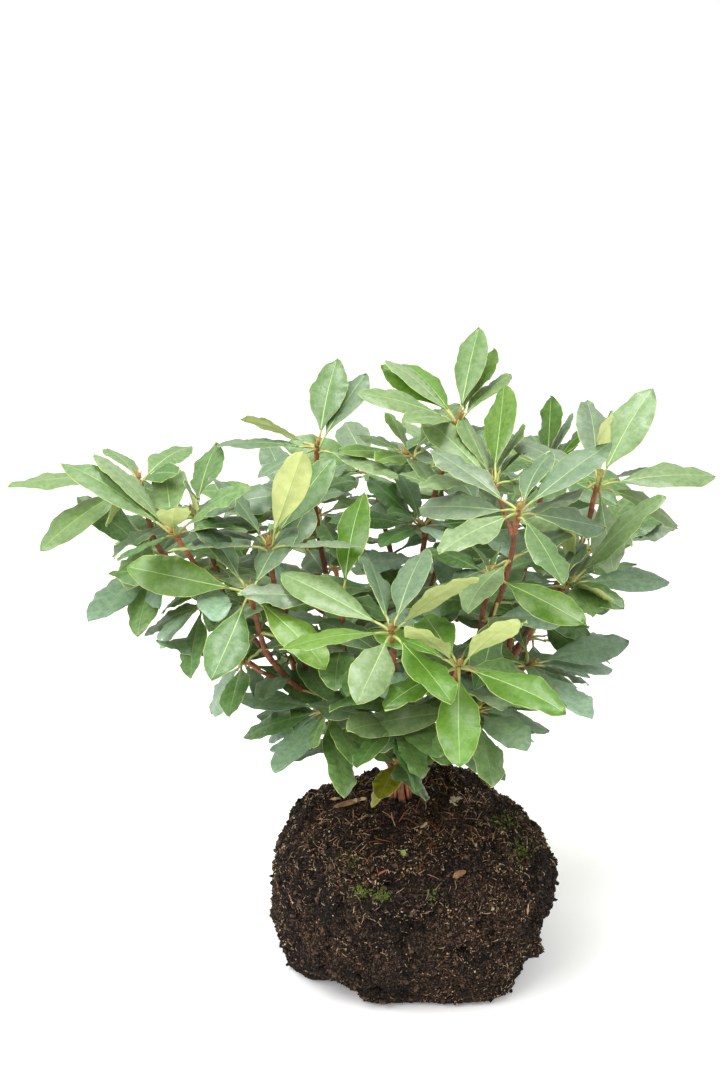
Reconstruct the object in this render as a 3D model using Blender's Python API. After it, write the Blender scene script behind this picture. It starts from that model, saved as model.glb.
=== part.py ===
"""Rhododendron: an evergreen garden shrub on its bare root ball.

Frame: metres, +Z up, origin in the middle of the flat underside of the root
ball, which stands at Z = 0.  -Y is the shrub's front, +X its right-hand side.

The shrub has a short stem with a flared foot, a first ring of boughs standing
on the stem's flat fork, side boughs that leave them, and one mass of foliage
for each whorl of leaves.  A mass is a closed, lobed body: every lobe reaches
as far as one leaf of the whorl, and the valleys between the lobes are the
crown's own gaps.
"""
import math
import random

import bmesh
import bpy
from mathutils import Vector, noise
from mathutils.bvhtree import BVHTree

for old in list(bpy.data.objects):
    bpy.data.objects.remove(old, do_unlink=True)

# ------------------------------------------------------------ named sizes
BALL_HEIGHT = 0.225        # root ball, floor to the seat of the stem
BALL_RADIUS = 0.174        # at its widest
BALL_DEPTH = 0.90          # front to back, share of side to side
BALL_FOOT = 0.152          # radius of the flat underside
FOOT_DEPTH = 0.84          # front to back, share of side to side
BALL_SQUARE = 2.3          # how square it is in plan, 2 is round
FOOT_SQUARE = 2.8          # the same for the underside
BALL_SHOULDER = 0.095      # height of the widest part
BALL_LUMPS = 0.055         # unevenness, share of the radius
BALL_BULGES = (            # bearing, height, spread (metres), how far it stands out
    (-46.0, 0.000, 0.030, 0.022),      # heel at the front right
    (-20.0, 0.010, 0.040, -0.016),     # drawn in behind it
    (210.0, 0.010, 0.050, 0.016),      # heel at the left
    (222.0, 0.000, 0.018, -0.060),     # bite out of the edge beside it
    (-6.0, 0.040, 0.045, -0.018),      # hollow above the right heel
    (188.0, 0.055, 0.035, -0.006),     # hollow above the left heel
    (-95.0, 0.060, 0.060, 0.006),      # belly in front
    (0.0, 0.115, 0.040, 0.017),        # right cheek
    (180.0, 0.115, 0.040, 0.006),      # left cheek
    (172.0, 0.190, 0.050, -0.012),     # sloping left shoulder
    (5.0, 0.205, 0.045, -0.024),       # cut-away right shoulder
)
BALL_RISE = (0.040, 0.064, 0.046, 0.032)   # the top swells behind the stem: x, y, spread, height
STEM_AT = (-0.021, -0.027) # where the stem stands on the ball
STEM_SEAT = 0.034          # radius of the flat seat
STEM_FLARE = 0.026         # radius of the stem's foot
STEM_NECK = 0.0185         # radius above the flare
STEM_FORK = 0.262          # height of the fork
FORK_RING = 0.0115         # the first boughs stand on this circle
BOUGH_ROOT = 0.0050        # radius of a first bough at the fork
BOUGH_TIP = 0.0030         # radius of a shoot at its whorl
GAP = 0.0004               # clearance between neighbouring solids
LEAF_REACH = 0.120         # usual reach of a leaf from the whorl's middle
LEAF_HALF = 15.5           # half the angle that a leaf takes up, degrees
LOBE_SLOPE = 13.0          # half the angle of a lobe's thickness, degrees
WHORL = 7                  # leaves in a whorl that shows from behind only
SEED = 41

rng = random.Random(SEED)
FORK = Vector((STEM_AT[0], STEM_AT[1], STEM_FORK))


# ------------------------------------------------------------ whorls of leaves
# name: middle of the whorl (metres), then one entry for each leaf that shows
# from the front: bearing (degrees from +X, anticlockwise), rise (degrees above
# level), reach (centimetres).  Wide gaps between them are filled in later.
FRONT_WHORLS = {
    "foliage_left_front": ((-0.190, -0.170, 0.560), (120, 21, 13), (168, 7, 14), (-106, -24, 13), (-43, -25, 13), (11, -4, 13.5)),
    "foliage_left_inner": ((-0.170, -0.120, 0.595), (-22, 70, 12), (46, 38, 13), (129, 23, 12.5), (-28, 8, 12)),
    "foliage_left_middle": ((-0.275, -0.120, 0.610), (165, 28, 15), (142, 33, 13.5), (-82, 36, 11), (-116, 3, 11)),
    "foliage_left_end": ((-0.325, 0.000, 0.630), (-154, 7, 16), (-130, -19, 15), (117, 4, 11), (65, 4, 11.5), (-56, 20, 10)),
    "foliage_left_rear": ((-0.260, -0.030, 0.600), (81, 23, 12), (-95, 37, 10), (-61, 20, 11)),
    "foliage_upper_left": ((-0.120, 0.030, 0.660), (144, 7, 11.5), (167, -4, 12.5), (-125, -3, 11), (78, 41, 12.5), (54, 31, 12.5), (-37, -7, 12)),
    "foliage_left_hanging": ((-0.252, -0.060, 0.500), (-122, -5, 10), (149, -48, 10), (-90, -27, 11.5)),
    "foliage_left_under": ((-0.305, -0.030, 0.545), (-128, -20, 13), (-97, -30, 12), (-70, -16, 10)),
    "foliage_top": ((0.045, 0.040, 0.690), (74, 44, 12.5), (48, 20, 11.5), (137, 23, 12.5), (115, 20, 12), (-162, 18, 13), (-127, 13, 11)),
    "foliage_upper_right": ((0.080, -0.050, 0.645), (135, 24, 12.5), (-126, 53, 11.5), (85, 40, 13), (60, 14, 10), (-150, 7, 11)),
    "foliage_right_front": ((0.100, -0.160, 0.650), (130, 18, 13.5), (152, -9, 13), (-134, -5, 13), (68, 19, 11), (38, 23, 14), (14, -19, 12), (-74, -16, 13)),
    "foliage_right_end": ((0.200, -0.040, 0.640), (52, 40, 14), (91, 30, 13), (10, 0, 14), (31, 1, 9), (-48, -8, 12.5), (-86, -32, 13), (138, 12, 13), (-139, -7, 11.5)),
    "foliage_upper_middle": ((-0.012, 0.060, 0.640), (-150, 14, 11), (127, 1, 10), (104, 15, 10), (-117, 13, 10), (-78, 1, 10)),
    "foliage_centre_right": ((0.072, -0.160, 0.576), (-43, -9, 13), (126, -3, 11.5), (95, 3, 8), (48, -7, 10)),
    "foliage_right_under": ((0.170, -0.060, 0.525), (-6, 40, 14.5), (-105, 60, 11), (16, -5, 12.5), (-60, 4, 10), (66, -9, 8)),
    "foliage_right_low": ((0.126, -0.088, 0.436), (26, 1, 13.5), (-20, -14, 10), (-60, -5, 13.5), (-92, 8, 11)),
    "foliage_centre_front": ((-0.037, -0.240, 0.546), (104, 22, 12), (70, 24, 12.5), (-26, 39, 12.5), (140, 14, 14.5), (-152, 4, 13.5), (-107, -13, 12.5), (-62, -13, 13)),
    "foliage_low_front": ((0.034, -0.250, 0.511), (-160, 40, 11.5), (-62, 40, 12), (-92, -28, 13), (-36, -6, 13.5), (-130, -3, 12), (35, -25, 12)),
    "foliage_low_middle": ((0.056, -0.190, 0.430), (-175, -8, 12.5), (-111, -2, 12), (-86, -12, 13), (-62, 3, 12.5), (30, -25, 12)),
    "foliage_low_left": ((-0.108, -0.140, 0.405), (178, -7, 12.5), (-116, -11, 12.5), (-82, -25, 12.5), (144, -30, 12), (-50, -11, 11)),
    "foliage_left_low": ((-0.203, -0.105, 0.450), (-98, -10, 11), (133, -50, 10), (15, -32, 12)),
    "foliage_inner_left": ((-0.120, 0.080, 0.558), (43, 1, 10), (-53, 12, 9), (142, 4, 11), (-90, -13, 10)),
    "foliage_inner_middle": ((0.003, 0.025, 0.565), (124, 15, 11), (-118, 4, 10), (92, 23, 10), (-76, 9, 9)),
    "foliage_centre_left": ((-0.090, -0.170, 0.553), (73, 49, 12.5), (-64, 10, 11), (133, -18, 10)),
    "foliage_inner_low": ((-0.150, -0.050, 0.430), (-65, -8, 11), (-106, -8, 11), (-20, -30, 11), (86, -14, 10)),
    "foliage_low_centre": ((-0.030, -0.165, 0.400), (-117, 12, 12), (-80, -10, 12), (-55, 6, 12), (-160, -10, 10), (100, 5, 9)),
    "foliage_foot": ((-0.026, -0.075, 0.300), (-118, -22, 6), (-60, -12, 7), (-20, -20, 6)),
}
# Whorls on the far side: the middle, and the bearing of their first leaf.
REAR_WHORLS = {
    "foliage_rear_top": ((0.162, 0.140, 0.597), 84),
    "foliage_rear_left_end": ((-0.266, 0.160, 0.494), 150),
    "foliage_rear_left": ((-0.160, 0.200, 0.527), 20),
    "foliage_rear_middle": ((-0.055, 0.220, 0.567), 70),
    "foliage_rear_upper": ((0.053, 0.250, 0.560), 95),
    "foliage_rear_right": ((0.121, 0.270, 0.480), 110),
    "foliage_rear_right_end": ((0.225, 0.170, 0.480), 30),
    "foliage_rear_low_left": ((-0.104, 0.280, 0.410), 100),
    "foliage_rear_low_middle": ((0.015, 0.215, 0.395), 60),
    "foliage_rear_low_right": ((0.147, 0.130, 0.375), 15),
}

# ------------------------------------------------------------ boughs
# name: where it starts (a bearing on the fork's ring, or a bough and the share
# of its length), the points it bends through, the whorl it ends at.
BOUGHS = {
    "bough_left": (200, ((-0.055, -0.045, 0.315), (-0.125, -0.085, 0.390), (-0.172, -0.130, 0.465)), "foliage_left_front"),
    "bough_centre_front": (256, ((-0.025, -0.075, 0.330), (-0.030, -0.160, 0.430)), "foliage_centre_front"),
    "bough_low_front": (312, ((0.004, -0.075, 0.320), (0.022, -0.160, 0.395)), "foliage_low_front"),
    "bough_right": (8, ((0.030, -0.040, 0.320), (0.075, -0.050, 0.385), (0.112, -0.060, 0.441), (0.140, -0.060, 0.500), (0.180, -0.050, 0.560)), "foliage_right_end"),
    "bough_top": (70, ((-0.008, -0.005, 0.330), (0.000, 0.030, 0.453), (0.012, 0.052, 0.562)), "foliage_top"),
    "bough_rear": (135, ((-0.045, 0.015, 0.325), (-0.105, 0.110, 0.420)), "foliage_rear_left"),
    "bough_low_left": (("bough_left", 0.20), ((-0.085, -0.085, 0.340),), "foliage_low_left"),
    "bough_centre_left": (("bough_left", 0.30), ((-0.085, -0.095, 0.410), (-0.088, -0.140, 0.480)), "foliage_centre_left"),
    "bough_left_inner": (("bough_left", 0.50), ((-0.142, -0.095, 0.470), (-0.163, -0.118, 0.540)), "foliage_left_inner"),
    "bough_left_end": (("bough_left", 0.72), ((-0.215, -0.090, 0.500), (-0.262, -0.055, 0.525), (-0.305, -0.025, 0.560)), "foliage_left_end"),
    "bough_left_middle": (("bough_left_end", 0.24), ((-0.240, -0.112, 0.548),), "foliage_left_middle"),
    "bough_left_rear": (("bough_left_end", 0.30), ((-0.238, -0.050, 0.548),), "foliage_left_rear"),
    "bough_upper_left": (("bough_rear", 0.30), ((-0.095, 0.025, 0.440), (-0.122, 0.050, 0.560)), "foliage_upper_left"),
    "bough_rear_left_end": (("bough_rear", 0.60), ((-0.180, 0.130, 0.455),), "foliage_rear_left_end"),
    "bough_rear_low": (("bough_rear", 0.34), ((-0.085, 0.160, 0.355),), "foliage_rear_low_left"),
    "bough_rear_middle": (("bough_top", 0.28), ((-0.025, 0.110, 0.460),), "foliage_rear_middle"),
    "bough_rear_upper": (("bough_top", 0.42), ((0.035, 0.140, 0.500),), "foliage_rear_upper"),
    "bough_rear_top": (("bough_right", 0.50), ((0.128, 0.040, 0.505),), "foliage_rear_top"),
    "bough_rear_right": (("bough_right", 0.24), ((0.130, 0.060, 0.400),), "foliage_rear_right_end"),
    "bough_right_front": (("bough_right", 0.16), ((0.045, -0.080, 0.395), (0.066, -0.120, 0.481), (0.090, -0.142, 0.565)), "foliage_right_front"),
    "bough_centre_right": (("bough_right_front", 0.50), ((0.066, -0.148, 0.530),), "foliage_centre_right"),
}

BARK = ("Bark", (0.165, 0.075, 0.045), 0.70)
PEAT = ("Root ball peat", (0.030, 0.019, 0.013), 0.95)
FRESH = ("Fresh leaf green", (0.165, 0.370, 0.095), 0.50)
GREYED = ("Greyed leaf green", (0.230, 0.380, 0.210), 0.52)
DARK = ("Old leaf green", (0.070, 0.150, 0.060), 0.50)
OLIVE = ("Olive leaf", (0.270, 0.270, 0.050), 0.55)


def paint(obj, look):
    """Give the object a material of its own."""
    name, colour, rough = look
    mat = bpy.data.materials.new(name + " " + obj.name)
    mat.use_nodes = True
    shader = mat.node_tree.nodes["Principled BSDF"]
    shader.inputs["Base Color"].default_value = (*colour, 1.0)
    shader.inputs["Roughness"].default_value = rough
    shader.inputs["Metallic"].default_value = 0.0
    mat.diffuse_color = (*colour, 1.0)
    obj.data.materials.append(mat)


def finish(name, bm, look, sharp=50.0):
    """Turn a closed bmesh into the named object, smooth where it is round."""
    bmesh.ops.triangulate(bm, faces=[f for f in bm.faces if len(f.verts) > 3])
    bmesh.ops.recalc_face_normals(bm, faces=bm.faces)
    mesh = bpy.data.meshes.new(name)
    bm.to_mesh(mesh)
    bm.free()
    obj = bpy.data.objects.new(name, mesh)
    bpy.context.collection.objects.link(obj)
    mesh.shade_smooth()
    mesh.set_sharp_from_angle(angle=math.radians(sharp))
    paint(obj, look)
    return obj


# ------------------------------------------------------------ root ball and stem
def ball_profile(t):
    """Height and radius of the ball at t, 0 at the foot and 1 at the top."""
    z = BALL_HEIGHT * (1.0 - math.cos(math.pi * t)) / 2.0
    if z < BALL_SHOULDER:
        u = z / BALL_SHOULDER
        r = BALL_FOOT + (BALL_RADIUS - BALL_FOOT) * math.sin(u * math.pi / 2.0) ** 0.7
    else:
        u = (z - BALL_SHOULDER) / (BALL_HEIGHT - BALL_SHOULDER)
        r = BALL_RADIUS * (1.0 - u ** 3.0) ** 0.50
    return z, r


def ball_plan(bearing, low):
    """Share of the radius at a bearing: squarer and shallower at the foot."""
    square = BALL_SQUARE + (FOOT_SQUARE - BALL_SQUARE) * low
    deep = BALL_DEPTH + (FOOT_DEPTH - BALL_DEPTH) * low
    c, s = abs(math.cos(bearing)), abs(math.sin(bearing)) / deep
    return (c ** square + s ** square) ** (-1.0 / square)


def lumps(x, y, z):
    """Slow, uneven swelling of the ball's side."""
    p = Vector((x, y, z)) * 11.0
    return noise.noise(p + Vector((3.1, 7.7, 1.9))) + 0.5 * noise.noise(p * 2.1)


def build_root_ball():
    rings, around = 11, 26
    bm = bmesh.new()
    bmesh.ops.create_uvsphere(bm, u_segments=around, v_segments=rings + 1, radius=1.0)
    for v in bm.verts:
        t = math.acos(max(-1.0, min(1.0, -v.co.z))) / math.pi
        bearing = math.atan2(v.co.y, v.co.x)
        pole = abs(v.co.z) > 0.9999
        row = round(t * (rings + 1))
        if row <= 1:                                   # flat underside
            z, r = 0.0, (0.0 if pole else BALL_FOOT)
        elif row >= rings:                             # flat seat of the stem
            z, r = BALL_HEIGHT, (0.0 if pole else STEM_SEAT)
        else:
            z, r = ball_profile((row - 1) / (rings - 1))
        share = z / BALL_HEIGHT
        centre = Vector((STEM_AT[0] * share ** 3, STEM_AT[1] * share ** 3))
        if row >= rings:
            centre = Vector(STEM_AT)
        elif r > 0.0:
            flat = 0.45 if row <= 1 else 1.0
            r *= 1.0 + BALL_LUMPS * flat * lumps(math.cos(bearing) * r, math.sin(bearing) * r, z)
            here = Vector((math.cos(bearing) * r, math.sin(bearing) * r, z))
            for turn, height, spread, stands in BALL_BULGES:
                b = math.radians(turn)
                there = Vector((math.cos(b) * BALL_RADIUS, math.sin(b) * BALL_RADIUS, height))
                r += stands * flat * math.exp(-(here - there).length_squared / (2.0 * spread * spread))
            r *= ball_plan(bearing, max(0.0, 1.0 - z / BALL_SHOULDER))
        x, y = centre.x + r * math.cos(bearing), centre.y + r * math.sin(bearing)
        if 1 < row < rings and z > BALL_SHOULDER:
            cx, cy, spread, height = BALL_RISE
            near = math.exp(-((x - cx) ** 2 + (y - cy) ** 2) / (2.0 * spread * spread))
            z += height * near * (z - BALL_SHOULDER) / (BALL_HEIGHT - BALL_SHOULDER)
        v.co = Vector((x, y, z))
    return finish("root_ball", bm, PEAT, 60.0)


def build_stem():
    """Short stem: flat cut on the ball, root flare, flat fork."""
    low = BALL_HEIGHT + GAP
    rows = ((0.0, STEM_FLARE), (0.10, 0.90 * STEM_FLARE), (0.32, 1.06 * STEM_NECK), (0.66, 0.97 * STEM_NECK), (1.0, STEM_NECK))
    bm = bmesh.new()
    ring = bmesh.ops.create_circle(bm, cap_ends=True, segments=14, radius=1.0)["verts"]
    loops = [list(ring)]
    edges = [e for e in bm.edges if all(v in ring for v in e.verts)]
    for _ in rows[1:]:
        out = bmesh.ops.extrude_edge_only(bm, edges=edges)["geom"]
        loops.append([g for g in out if isinstance(g, bmesh.types.BMVert)])
        edges = [g for g in out if isinstance(g, bmesh.types.BMEdge)]
    bmesh.ops.contextual_create(bm, geom=edges)
    for loop, (share, radius) in zip(loops, rows):
        for v in loop:
            bearing = math.atan2(v.co.y, v.co.x)
            ridge = 1.0 + 0.07 * (1.0 - share) * math.sin(5.0 * bearing + 0.8)
            v.co = Vector((STEM_AT[0] + radius * ridge * math.cos(bearing),
                           STEM_AT[1] + radius * ridge * math.sin(bearing),
                           low + (STEM_FORK - low) * share))
    return finish("stem_base", bm, BARK)


# ------------------------------------------------------------ boughs
class Limb:
    """A tapering limb along a smooth curve through its points."""

    def __init__(self, name, points, r0, r1):
        self.name, self.r0, self.r1 = name, r0, r1
        pts = [Vector(p) for p in points]
        pts = [pts[0] * 2.0 - pts[1]] + pts + [pts[-1] * 2.0 - pts[-2]]
        self.line = []
        for i in range(1, len(pts) - 2):
            a, b, c, d = pts[i - 1:i + 3]
            for k in range(24):
                t = k / 24.0
                self.line.append(0.5 * ((2.0 * b) + (c - a) * t + (2.0 * a - 5.0 * b + 4.0 * c - d) * t * t
                                        + (3.0 * b - a - 3.0 * c + d) * t ** 3))
        self.line.append(pts[-2].copy())
        self.along = [0.0]
        for p, q in zip(self.line, self.line[1:]):
            self.along.append(self.along[-1] + (q - p).length)
        self.length = self.along[-1]
        self.start, self.end = 0.0, self.length

    def at(self, s):
        s = max(0.0, min(self.length, s))
        for i in range(len(self.along) - 1):
            if s <= self.along[i + 1]:
                t = (s - self.along[i]) / (self.along[i + 1] - self.along[i])
                return self.line[i].lerp(self.line[i + 1], t)
        return self.line[-1].copy()

    def radius(self, s):
        return self.r0 + (self.r1 - self.r0) * (s / self.length) ** 0.8

    def bm(self, start=None, end=None, extra=0.0, sides=6):
        start = self.start if start is None else start
        end = self.end if end is None else end
        steps = max(2, round((end - start) / 0.036))
        stations = [start + (end - start) * i / steps for i in range(steps + 1)]
        bm = bmesh.new()
        ring = bmesh.ops.create_circle(bm, cap_ends=True, segments=sides, radius=1.0)["verts"]
        loops = [list(ring)]
        edges = [e for e in bm.edges if all(v in ring for v in e.verts)]
        for _ in stations[1:]:
            out = bmesh.ops.extrude_edge_only(bm, edges=edges)["geom"]
            loops.append([g for g in out if isinstance(g, bmesh.types.BMVert)])
            edges = [g for g in out if isinstance(g, bmesh.types.BMEdge)]
        bmesh.ops.contextual_create(bm, geom=edges)
        side = None
        for k, (loop, s) in enumerate(zip(loops, stations)):
            ahead = (self.at(s + 0.002) - self.at(s - 0.002)).normalized()
            if k == 0 and start == 0.0 and self.on_fork:
                ahead = Vector((0.0, 0.0, 1.0))
            if side is None:
                side = ahead.orthogonal()
            side = (side - ahead * side.dot(ahead)).normalized()
            across = ahead.cross(side)
            middle, r = self.at(s), self.radius(s) + extra
            if extra and k in (0, len(stations) - 1):
                middle = middle + ahead * (extra if k else -extra)
            for v in loop:
                turn = math.atan2(v.co.y, v.co.x)
                v.co = middle + (side * math.cos(turn) + across * math.sin(turn)) * r
        bmesh.ops.triangulate(bm, faces=[f for f in bm.faces if len(f.verts) > 3])
        bmesh.ops.recalc_face_normals(bm, faces=bm.faces)
        return bm

    on_fork = False


# ------------------------------------------------------------ masses of foliage
def turn_between(a, b):
    return (b - a) % 360.0


class Mass:
    """A star-shaped, lobed body round a whorl: one lobe for each leaf."""

    def __init__(self, name, middle, leaves):
        self.name, self.middle = name, Vector(middle)
        self.lobes = self.thin_out(leaves)
        self.rays, self.reach = [], []
        self.template = None
        self.shape()

    def thin_out(self, leaves):
        """One lobe where leaves overlap, and no gap wider than 95 degrees."""
        kept = []
        for leaf in sorted(leaves, key=lambda l: -l[2]):
            if all(min(turn_between(leaf[0], o[0]), turn_between(o[0], leaf[0])) > 19.0 for o in kept):
                kept.append(leaf)
        kept.sort(key=lambda l: l[0] % 360.0)
        out = []
        for leaf, after in zip(kept, kept[1:] + kept[:1]):
            out.append(leaf)
            room = turn_between(leaf[0], after[0]) or 360.0
            more = int((room - 1.0) // 88.0)
            for i in range(more):
                rise = 0.5 * (leaf[1] + after[1]) * 0.5 + rng.uniform(0.0, 12.0)
                short = 0.62 + 0.14 * rng.random()
                out.append(((leaf[0] + room * (i + 1) / (more + 1)) % 360.0, rise,
                            short * min(13.0, 0.5 * (leaf[2] + after[2]))))
        return sorted(out, key=lambda l: l[0] % 360.0)

    def shape(self):
        n = len(self.lobes)
        columns = []
        for (b0, e0, r0), (b1, e1, r1) in zip(self.lobes, self.lobes[1:] + self.lobes[:1]):
            room = turn_between(b0, b1) or 360.0
            half = min(LEAF_HALF, 0.30 * room)
            low = 0.42 if room < 45.0 else 0.30
            columns.append((b0, e0, r0, 1.0, 0.50))
            columns.append((b0 + half, e0 + 0.20 * (e1 - e0), r0, 0.70, 0.46))
            columns.append((b0 + 0.5 * room, 0.5 * (e0 + e1), 0.5 * (r0 + r1), low, low * 0.86))
            columns.append((b0 + room - half, e1 + 0.20 * (e0 - e1), r1, 0.70, 0.46))
        self.bm = bmesh.new()
        bmesh.ops.create_uvsphere(self.bm, u_segments=4 * n, v_segments=4, radius=1.0)
        self.bm.verts.ensure_lookup_table()
        for v in self.bm.verts:
            if abs(v.co.z) > 0.99:
                ray = Vector((0.0, 0.0, 1.0 if v.co.z > 0.0 else -1.0))
                reach = 0.016 if v.co.z > 0.0 else 0.011
            else:
                turn = math.degrees(math.atan2(v.co.y, v.co.x)) % 360.0
                col = round(turn / (360.0 / (4 * n))) % (4 * n)
                row = round(math.asin(v.co.z) / (math.pi / 4.0))
                bearing, rise, size, far, near = columns[col]
                slope = LOBE_SLOPE if col % 4 != 2 else 2.0 * LOBE_SLOPE
                rise = max(-78.0, min(80.0, rise + row * slope))
                uneven = 1.0 + 0.07 * noise.noise(self.middle * 31.0 + Vector((bearing * 0.05, row * 1.7, 0.3)))
                reach = size * 0.01 * (far if row == 0 else near) * (uneven if row or far < 1.0 else 1.0)
                b, e = math.radians(bearing), math.radians(rise)
                ray = Vector((math.cos(e) * math.cos(b), math.cos(e) * math.sin(b), math.sin(e)))
            self.rays.append(ray)
            self.reach.append(reach)
        self.place()
        bmesh.ops.triangulate(self.bm, faces=[f for f in self.bm.faces if len(f.verts) > 3])
        bmesh.ops.recalc_face_normals(self.bm, faces=self.bm.faces)

    def place(self, extra=0.0):
        for v, ray, reach in zip(self.bm.verts, self.rays, self.reach):
            v.co = self.middle + ray * reach
        if extra:
            self.bm.normal_update()
            moved = [v.co + v.normal * extra for v in self.bm.verts]
            for v, co in zip(self.bm.verts, moved):
                v.co = co

    def tree(self, extra=0.0):
        self.place(extra)
        tree = BVHTree.FromBMesh(self.bm)
        self.place()
        return tree

    def draw_in(self, faces, share):
        """Shorten the reach of the faces that touch a neighbour."""
        self.bm.faces.ensure_lookup_table()
        for i in {v.index for f in faces for v in self.bm.faces[f].verts}:
            self.reach[i] = max(0.0065, self.reach[i] * share)
        self.place()


def clear(masses, limbs, stem):
    """Draw every mass in until it touches no limb and no other mass."""
    still = [(l.name, BVHTree.FromBMesh(l.bm(extra=GAP)), l) for l in limbs]
    stem_bm = bmesh.new()
    stem_bm.from_mesh(stem.data)
    stem_tree = BVHTree.FromBMesh(stem_bm)
    stem_bm.free()
    own = {l.whorl: BVHTree.FromBMesh(l.bm(end=max(l.start + 0.03, l.length - 0.032), extra=GAP)) for l in limbs}
    for sweep in range(90):
        busy = False
        trees = [m.tree(GAP) for m in masses]
        plain = [m.tree() for m in masses]
        for i, m in enumerate(masses):
            hit = set()
            for name, tree, limb in still:
                other = own[m.name] if limb.whorl == m.name else tree
                hit.update(a for a, _ in trees[i].overlap(other))
            hit.update(a for a, _ in trees[i].overlap(stem_tree))
            if hit:
                busy = True
                m.draw_in(hit, 0.90)
            for j in range(i):
                if (masses[j].middle - m.middle).length > 0.34:
                    continue
                pairs = trees[i].overlap(plain[j])
                if pairs:
                    busy = True
                    m.draw_in({a for a, _ in pairs}, 0.93)
                    if sweep > 14:
                        masses[j].draw_in({b for _, b in pairs}, 0.965)
        if not busy:
            return sweep
    return -1


def build():
    ball = build_root_ball()
    stem = build_stem()
    masses = []
    for name, (middle, *leaves) in FRONT_WHORLS.items():
        masses.append(Mass(name, middle, leaves))
    for name, (middle, first) in REAR_WHORLS.items():
        leaves = [(first + i * 360.0 / WHORL + rng.uniform(-9.0, 9.0), rng.uniform(-8.0, 26.0),
                   100.0 * LEAF_REACH * rng.uniform(0.86, 1.06)) for i in range(WHORL)]
        masses.append(Mass(name, middle, leaves))
    at = {m.name: m for m in masses}

    limbs = {}
    for name, (root, bends, whorl) in BOUGHS.items():
        if isinstance(root, tuple):
            parent, share = limbs[root[0]], root[1]
            first = parent.at(share * parent.length)
            thick = min(BOUGH_ROOT * 0.86, parent.radius(share * parent.length) * 0.92)
            points = [first]
        else:
            parent, thick = None, BOUGH_ROOT
            b = math.radians(root)
            first = FORK + Vector((FORK_RING * math.cos(b), FORK_RING * math.sin(b), GAP))
            points = [first, first + Vector((0.0045 * math.cos(b), 0.0045 * math.sin(b), 0.022))]
        limb = Limb(name, points + list(bends) + [at[whorl].middle], thick, BOUGH_TIP)
        limb.on_fork, limb.whorl = parent is None, whorl
        limb.end = limb.length - 0.012
        if parent is not None:                       # leave the parent's bark
            tree = BVHTree.FromBMesh(parent.bm(end=parent.length))
            while tree.overlap(BVHTree.FromBMesh(limb.bm(extra=GAP))) and limb.start < 0.05:
                limb.start += 0.001
        limbs[name] = limb

    swept = clear(masses, list(limbs.values()), stem)
    for limb in limbs.values():                      # stop short of the mass
        tree = at[limb.whorl].tree()
        while tree.overlap(BVHTree.FromBMesh(limb.bm(extra=GAP))) and limb.end > limb.start + 0.03:
            limb.end -= 0.001

    for limb in limbs.values():
        finish(limb.name, limb.bm(), BARK, 60.0)
    fresh = ("foliage_left_front", "foliage_centre_front", "foliage_low_front", "foliage_centre_left", "foliage_upper_right")
    for m in masses:
        look = GREYED
        if m.name in fresh:
            look = FRESH
        elif m.name == "foliage_foot":
            look = OLIVE
        elif "low" in m.name or "hanging" in m.name or "under" in m.name or "inner" in m.name:
            look = DARK
        mesh = m.bm.copy()
        m.bm.free()
        finish(m.name, mesh, look, 80.0)
    return swept


SWEEPS = build()
print("sweeps until every solid stands clear:", SWEEPS)
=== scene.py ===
import bpy
import math
import random
import numpy as np
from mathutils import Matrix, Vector


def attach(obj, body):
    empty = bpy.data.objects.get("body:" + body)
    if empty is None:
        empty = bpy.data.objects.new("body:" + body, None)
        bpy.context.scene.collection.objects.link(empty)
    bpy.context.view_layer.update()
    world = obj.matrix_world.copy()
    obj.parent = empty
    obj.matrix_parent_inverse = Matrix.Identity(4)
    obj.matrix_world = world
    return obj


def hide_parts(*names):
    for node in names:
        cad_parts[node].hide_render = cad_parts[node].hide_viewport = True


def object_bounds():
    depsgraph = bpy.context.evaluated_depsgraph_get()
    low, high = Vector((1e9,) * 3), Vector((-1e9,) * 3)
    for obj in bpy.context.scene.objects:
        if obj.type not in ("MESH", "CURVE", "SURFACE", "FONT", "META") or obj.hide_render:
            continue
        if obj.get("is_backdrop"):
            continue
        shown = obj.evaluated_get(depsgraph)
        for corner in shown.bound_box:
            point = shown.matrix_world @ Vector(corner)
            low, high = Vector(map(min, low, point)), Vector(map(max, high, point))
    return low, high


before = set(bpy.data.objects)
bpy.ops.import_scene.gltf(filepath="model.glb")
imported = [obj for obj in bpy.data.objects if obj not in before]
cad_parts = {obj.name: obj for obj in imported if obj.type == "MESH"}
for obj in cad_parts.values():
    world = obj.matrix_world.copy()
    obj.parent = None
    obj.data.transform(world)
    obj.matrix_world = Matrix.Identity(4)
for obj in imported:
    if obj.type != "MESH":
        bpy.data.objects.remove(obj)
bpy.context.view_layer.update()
SEED = 5
rng = random.Random(SEED)

# ------------------------------------------------------------ the view
EYE = np.array((-0.070, -1.970, 1.308))
TILT = math.radians(20.91)
FOCAL = 1800.0                       # in pixels of the 720 x 1080 frame
TS, TC = math.sin(TILT), math.cos(TILT)


def sight(px, py):
    """Unit line of sight through a pixel."""
    x, y = (px - 360.0) / FOCAL, (540.0 - py) / FOCAL
    d = np.array((x, TC + y * TS, -TS + y * TC))
    return d / np.linalg.norm(d)


def pixels(points):
    """Where points (n, 3) fall in the frame, and how many pixels a metre is there."""
    q = np.atleast_2d(points) - EYE
    depth = q[:, 1] * TC - q[:, 2] * TS
    return np.stack((360.0 + FOCAL * q[:, 0] / depth,
                     540.0 - FOCAL * (q[:, 1] * TS + q[:, 2] * TC) / depth), 1), FOCAL / depth


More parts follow.
